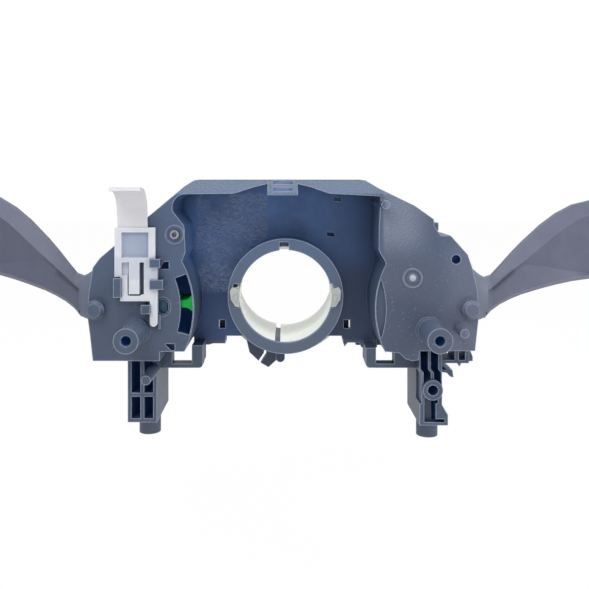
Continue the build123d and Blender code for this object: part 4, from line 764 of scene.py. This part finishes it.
class STALK_OT_stage(bpy.types.Operator):
    """Lays the white floor, hangs the lamps and places the camera"""

    bl_idname = "stalk.stage"
    bl_label = "Floor, light and camera"

    def execute(self, context):
        look = context.scene.stage_layout
        low = min(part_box(name)[0][2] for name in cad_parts)
        mesh = bpy.data.meshes.new("paper_floor")
        sheet = bmesh.new()
        bmesh.ops.create_grid(sheet, x_segments=1, y_segments=1, size=look.floor_width / 2)
        bmesh.ops.translate(sheet, vec=(0, 0, low - look.floor_drop), verts=sheet.verts)
        sheet.to_mesh(mesh)
        sheet.free()
        floor = bpy.data.objects.new("paper_floor", mesh)
        context.scene.collection.objects.link(floor)
        # Matt white paper, rolled: seen by the camera it is nearly pure white, as in the photograph.
        material, tree, shader, coords = new_material("white_paper_rolled")
        fine = grain(tree, coords, 2.0, 2.0)
        colour = tint(tree, stepped(tree, fine, 0.4, 0.7, 0.3), look.paper, WHITE)
        tree.links.new(colour, shader.inputs["Base Color"])
        set_shader(shader, Roughness=0.9, IOR=1.45)
        path = add(tree, "ShaderNodeLightPath")
        seen = times(tree, path.outputs["Is Camera Ray"], look.floor_white)
        white = add(tree, "ShaderNodeEmission", values={"Color": linear(WHITE), "Strength": 1.0})
        both = add(
            tree,
            "ShaderNodeMixShader",
            {0: seen, 1: shader.outputs["BSDF"], 2: white.outputs["Emission"]},
        )
        output = next(n for n in tree.nodes if n.type == "OUTPUT_MATERIAL")
        tree.links.new(both.outputs["Shader"], output.inputs["Surface"])
        mesh.materials.append(material)

        # A white room: the camera and shiny faces see it full white, and it lights the rest less.
        world = bpy.data.worlds.new("white_room")
        world.use_nodes = True
        tree = world.node_tree
        tree.nodes.clear()
        path = add(tree, "ShaderNodeLightPath")
        seen = path.outputs["Is Camera Ray"]
        for name in ("Is Glossy Ray", "Is Transmission Ray"):
            seen = most(tree, seen, path.outputs[name])
        level = add(
            tree,
            "ShaderNodeMapRange",
            {"Value": seen},
            {"To Min": look.world_level, "To Max": 1.0},
        )
        sky = add(
            tree,
            "ShaderNodeBackground",
            {"Strength": level.outputs["Result"]},
            {"Color": linear(WHITE)},
        )
        add(tree, "ShaderNodeOutputWorld", {"Surface": sky.outputs["Background"]})
        context.scene.world = world

        # Name, place, width and power of each lamp; all of them face the frame's origin.
        lamps = (
            ("key_lamp", (-0.25, -0.55, 0.75), 0.6, look.key_power),
            ("side_lamp", (0.7, -0.35, 0.35), 0.5, look.key_power * 0.45),
            ("top_lamp", (0.0, 0.1, 0.8), 0.5, look.key_power * 0.5),
        )
        for name, place, size, power in lamps:
            light = bpy.data.lights.new(name, "AREA")
            light.shape = "DISK"
            light.size = size
            light.energy = power
            lamp = bpy.data.objects.new(name, light)
            aim = (Vector((0, 0, 0)) - Vector(place)).to_track_quat("-Z", "Y")
            lamp.matrix_world = Matrix.Translation(place) @ aim.to_matrix().to_4x4()
            context.scene.collection.objects.link(lamp)

        lens = bpy.data.cameras.new("photo_camera")
        lens.sensor_width = 36.0
        lens.lens = look.lens_mm
        lens.shift_x, lens.shift_y = look.camera_shift
        lens.clip_start = 0.01
        camera = bpy.data.objects.new("photo_camera", lens)
        camera.location = look.camera_place
        camera.rotation_euler = (radians(90), 0, 0)
        context.scene.collection.objects.link(camera)
        context.scene.camera = camera
        context.scene.view_settings.view_transform = "Standard"
        return {"FINISHED"}


class STALK_PT_panel(bpy.types.Panel):
    """Lists the steps in the sidebar"""

    bl_idname = "STALK_PT_panel"
    bl_label = "Stalk switch"
    bl_space_type = "VIEW_3D"
    bl_region_type = "UI"
    bl_category = "Stalk switch"

    def draw(self, context):
        for step in STEPS:
            self.layout.operator(step.bl_idname)


GROUPS = {
    "housing_finish": HousingFinish,
    "lever_finish": LeverFinish,
    "sleeve_finish": SleeveFinish,
    "latch_finish": LatchFinish,
    "small_finishes": SmallFinishes,
    "stage_layout": StageLayout,
}
STEPS = (
    STALK_OT_housing,
    STALK_OT_sleeve,
    STALK_OT_latch,
    STALK_OT_levers,
    STALK_OT_small_plastics,
    STALK_OT_electrics,
    STALK_OT_steel,
    STALK_OT_stage,
)


def register():
    """Registers the settings, the steps and the panel."""
    for name, group in GROUPS.items():
        bpy.utils.register_class(group)
        setattr(bpy.types.Scene, name, bpy.props.PointerProperty(type=group))
    for step in (*STEPS, STALK_PT_panel):
        bpy.utils.register_class(step)


def unregister():
    """Removes the panel, the steps and the settings."""
    for step in (STALK_PT_panel, *reversed(STEPS)):
        bpy.utils.unregister_class(step)
    for name, group in GROUPS.items():
        delattr(bpy.types.Scene, name)
        bpy.utils.unregister_class(group)


def main():
    """Runs every step in order."""
    register()
    bpy.ops.stalk.housing()
    bpy.ops.stalk.sleeve()
    bpy.ops.stalk.latch()
    bpy.ops.stalk.levers()
    bpy.ops.stalk.small_plastics()
    bpy.ops.stalk.electrics()
    bpy.ops.stalk.steel()
    bpy.ops.stalk.stage()


if __name__ == "__main__":
    main()
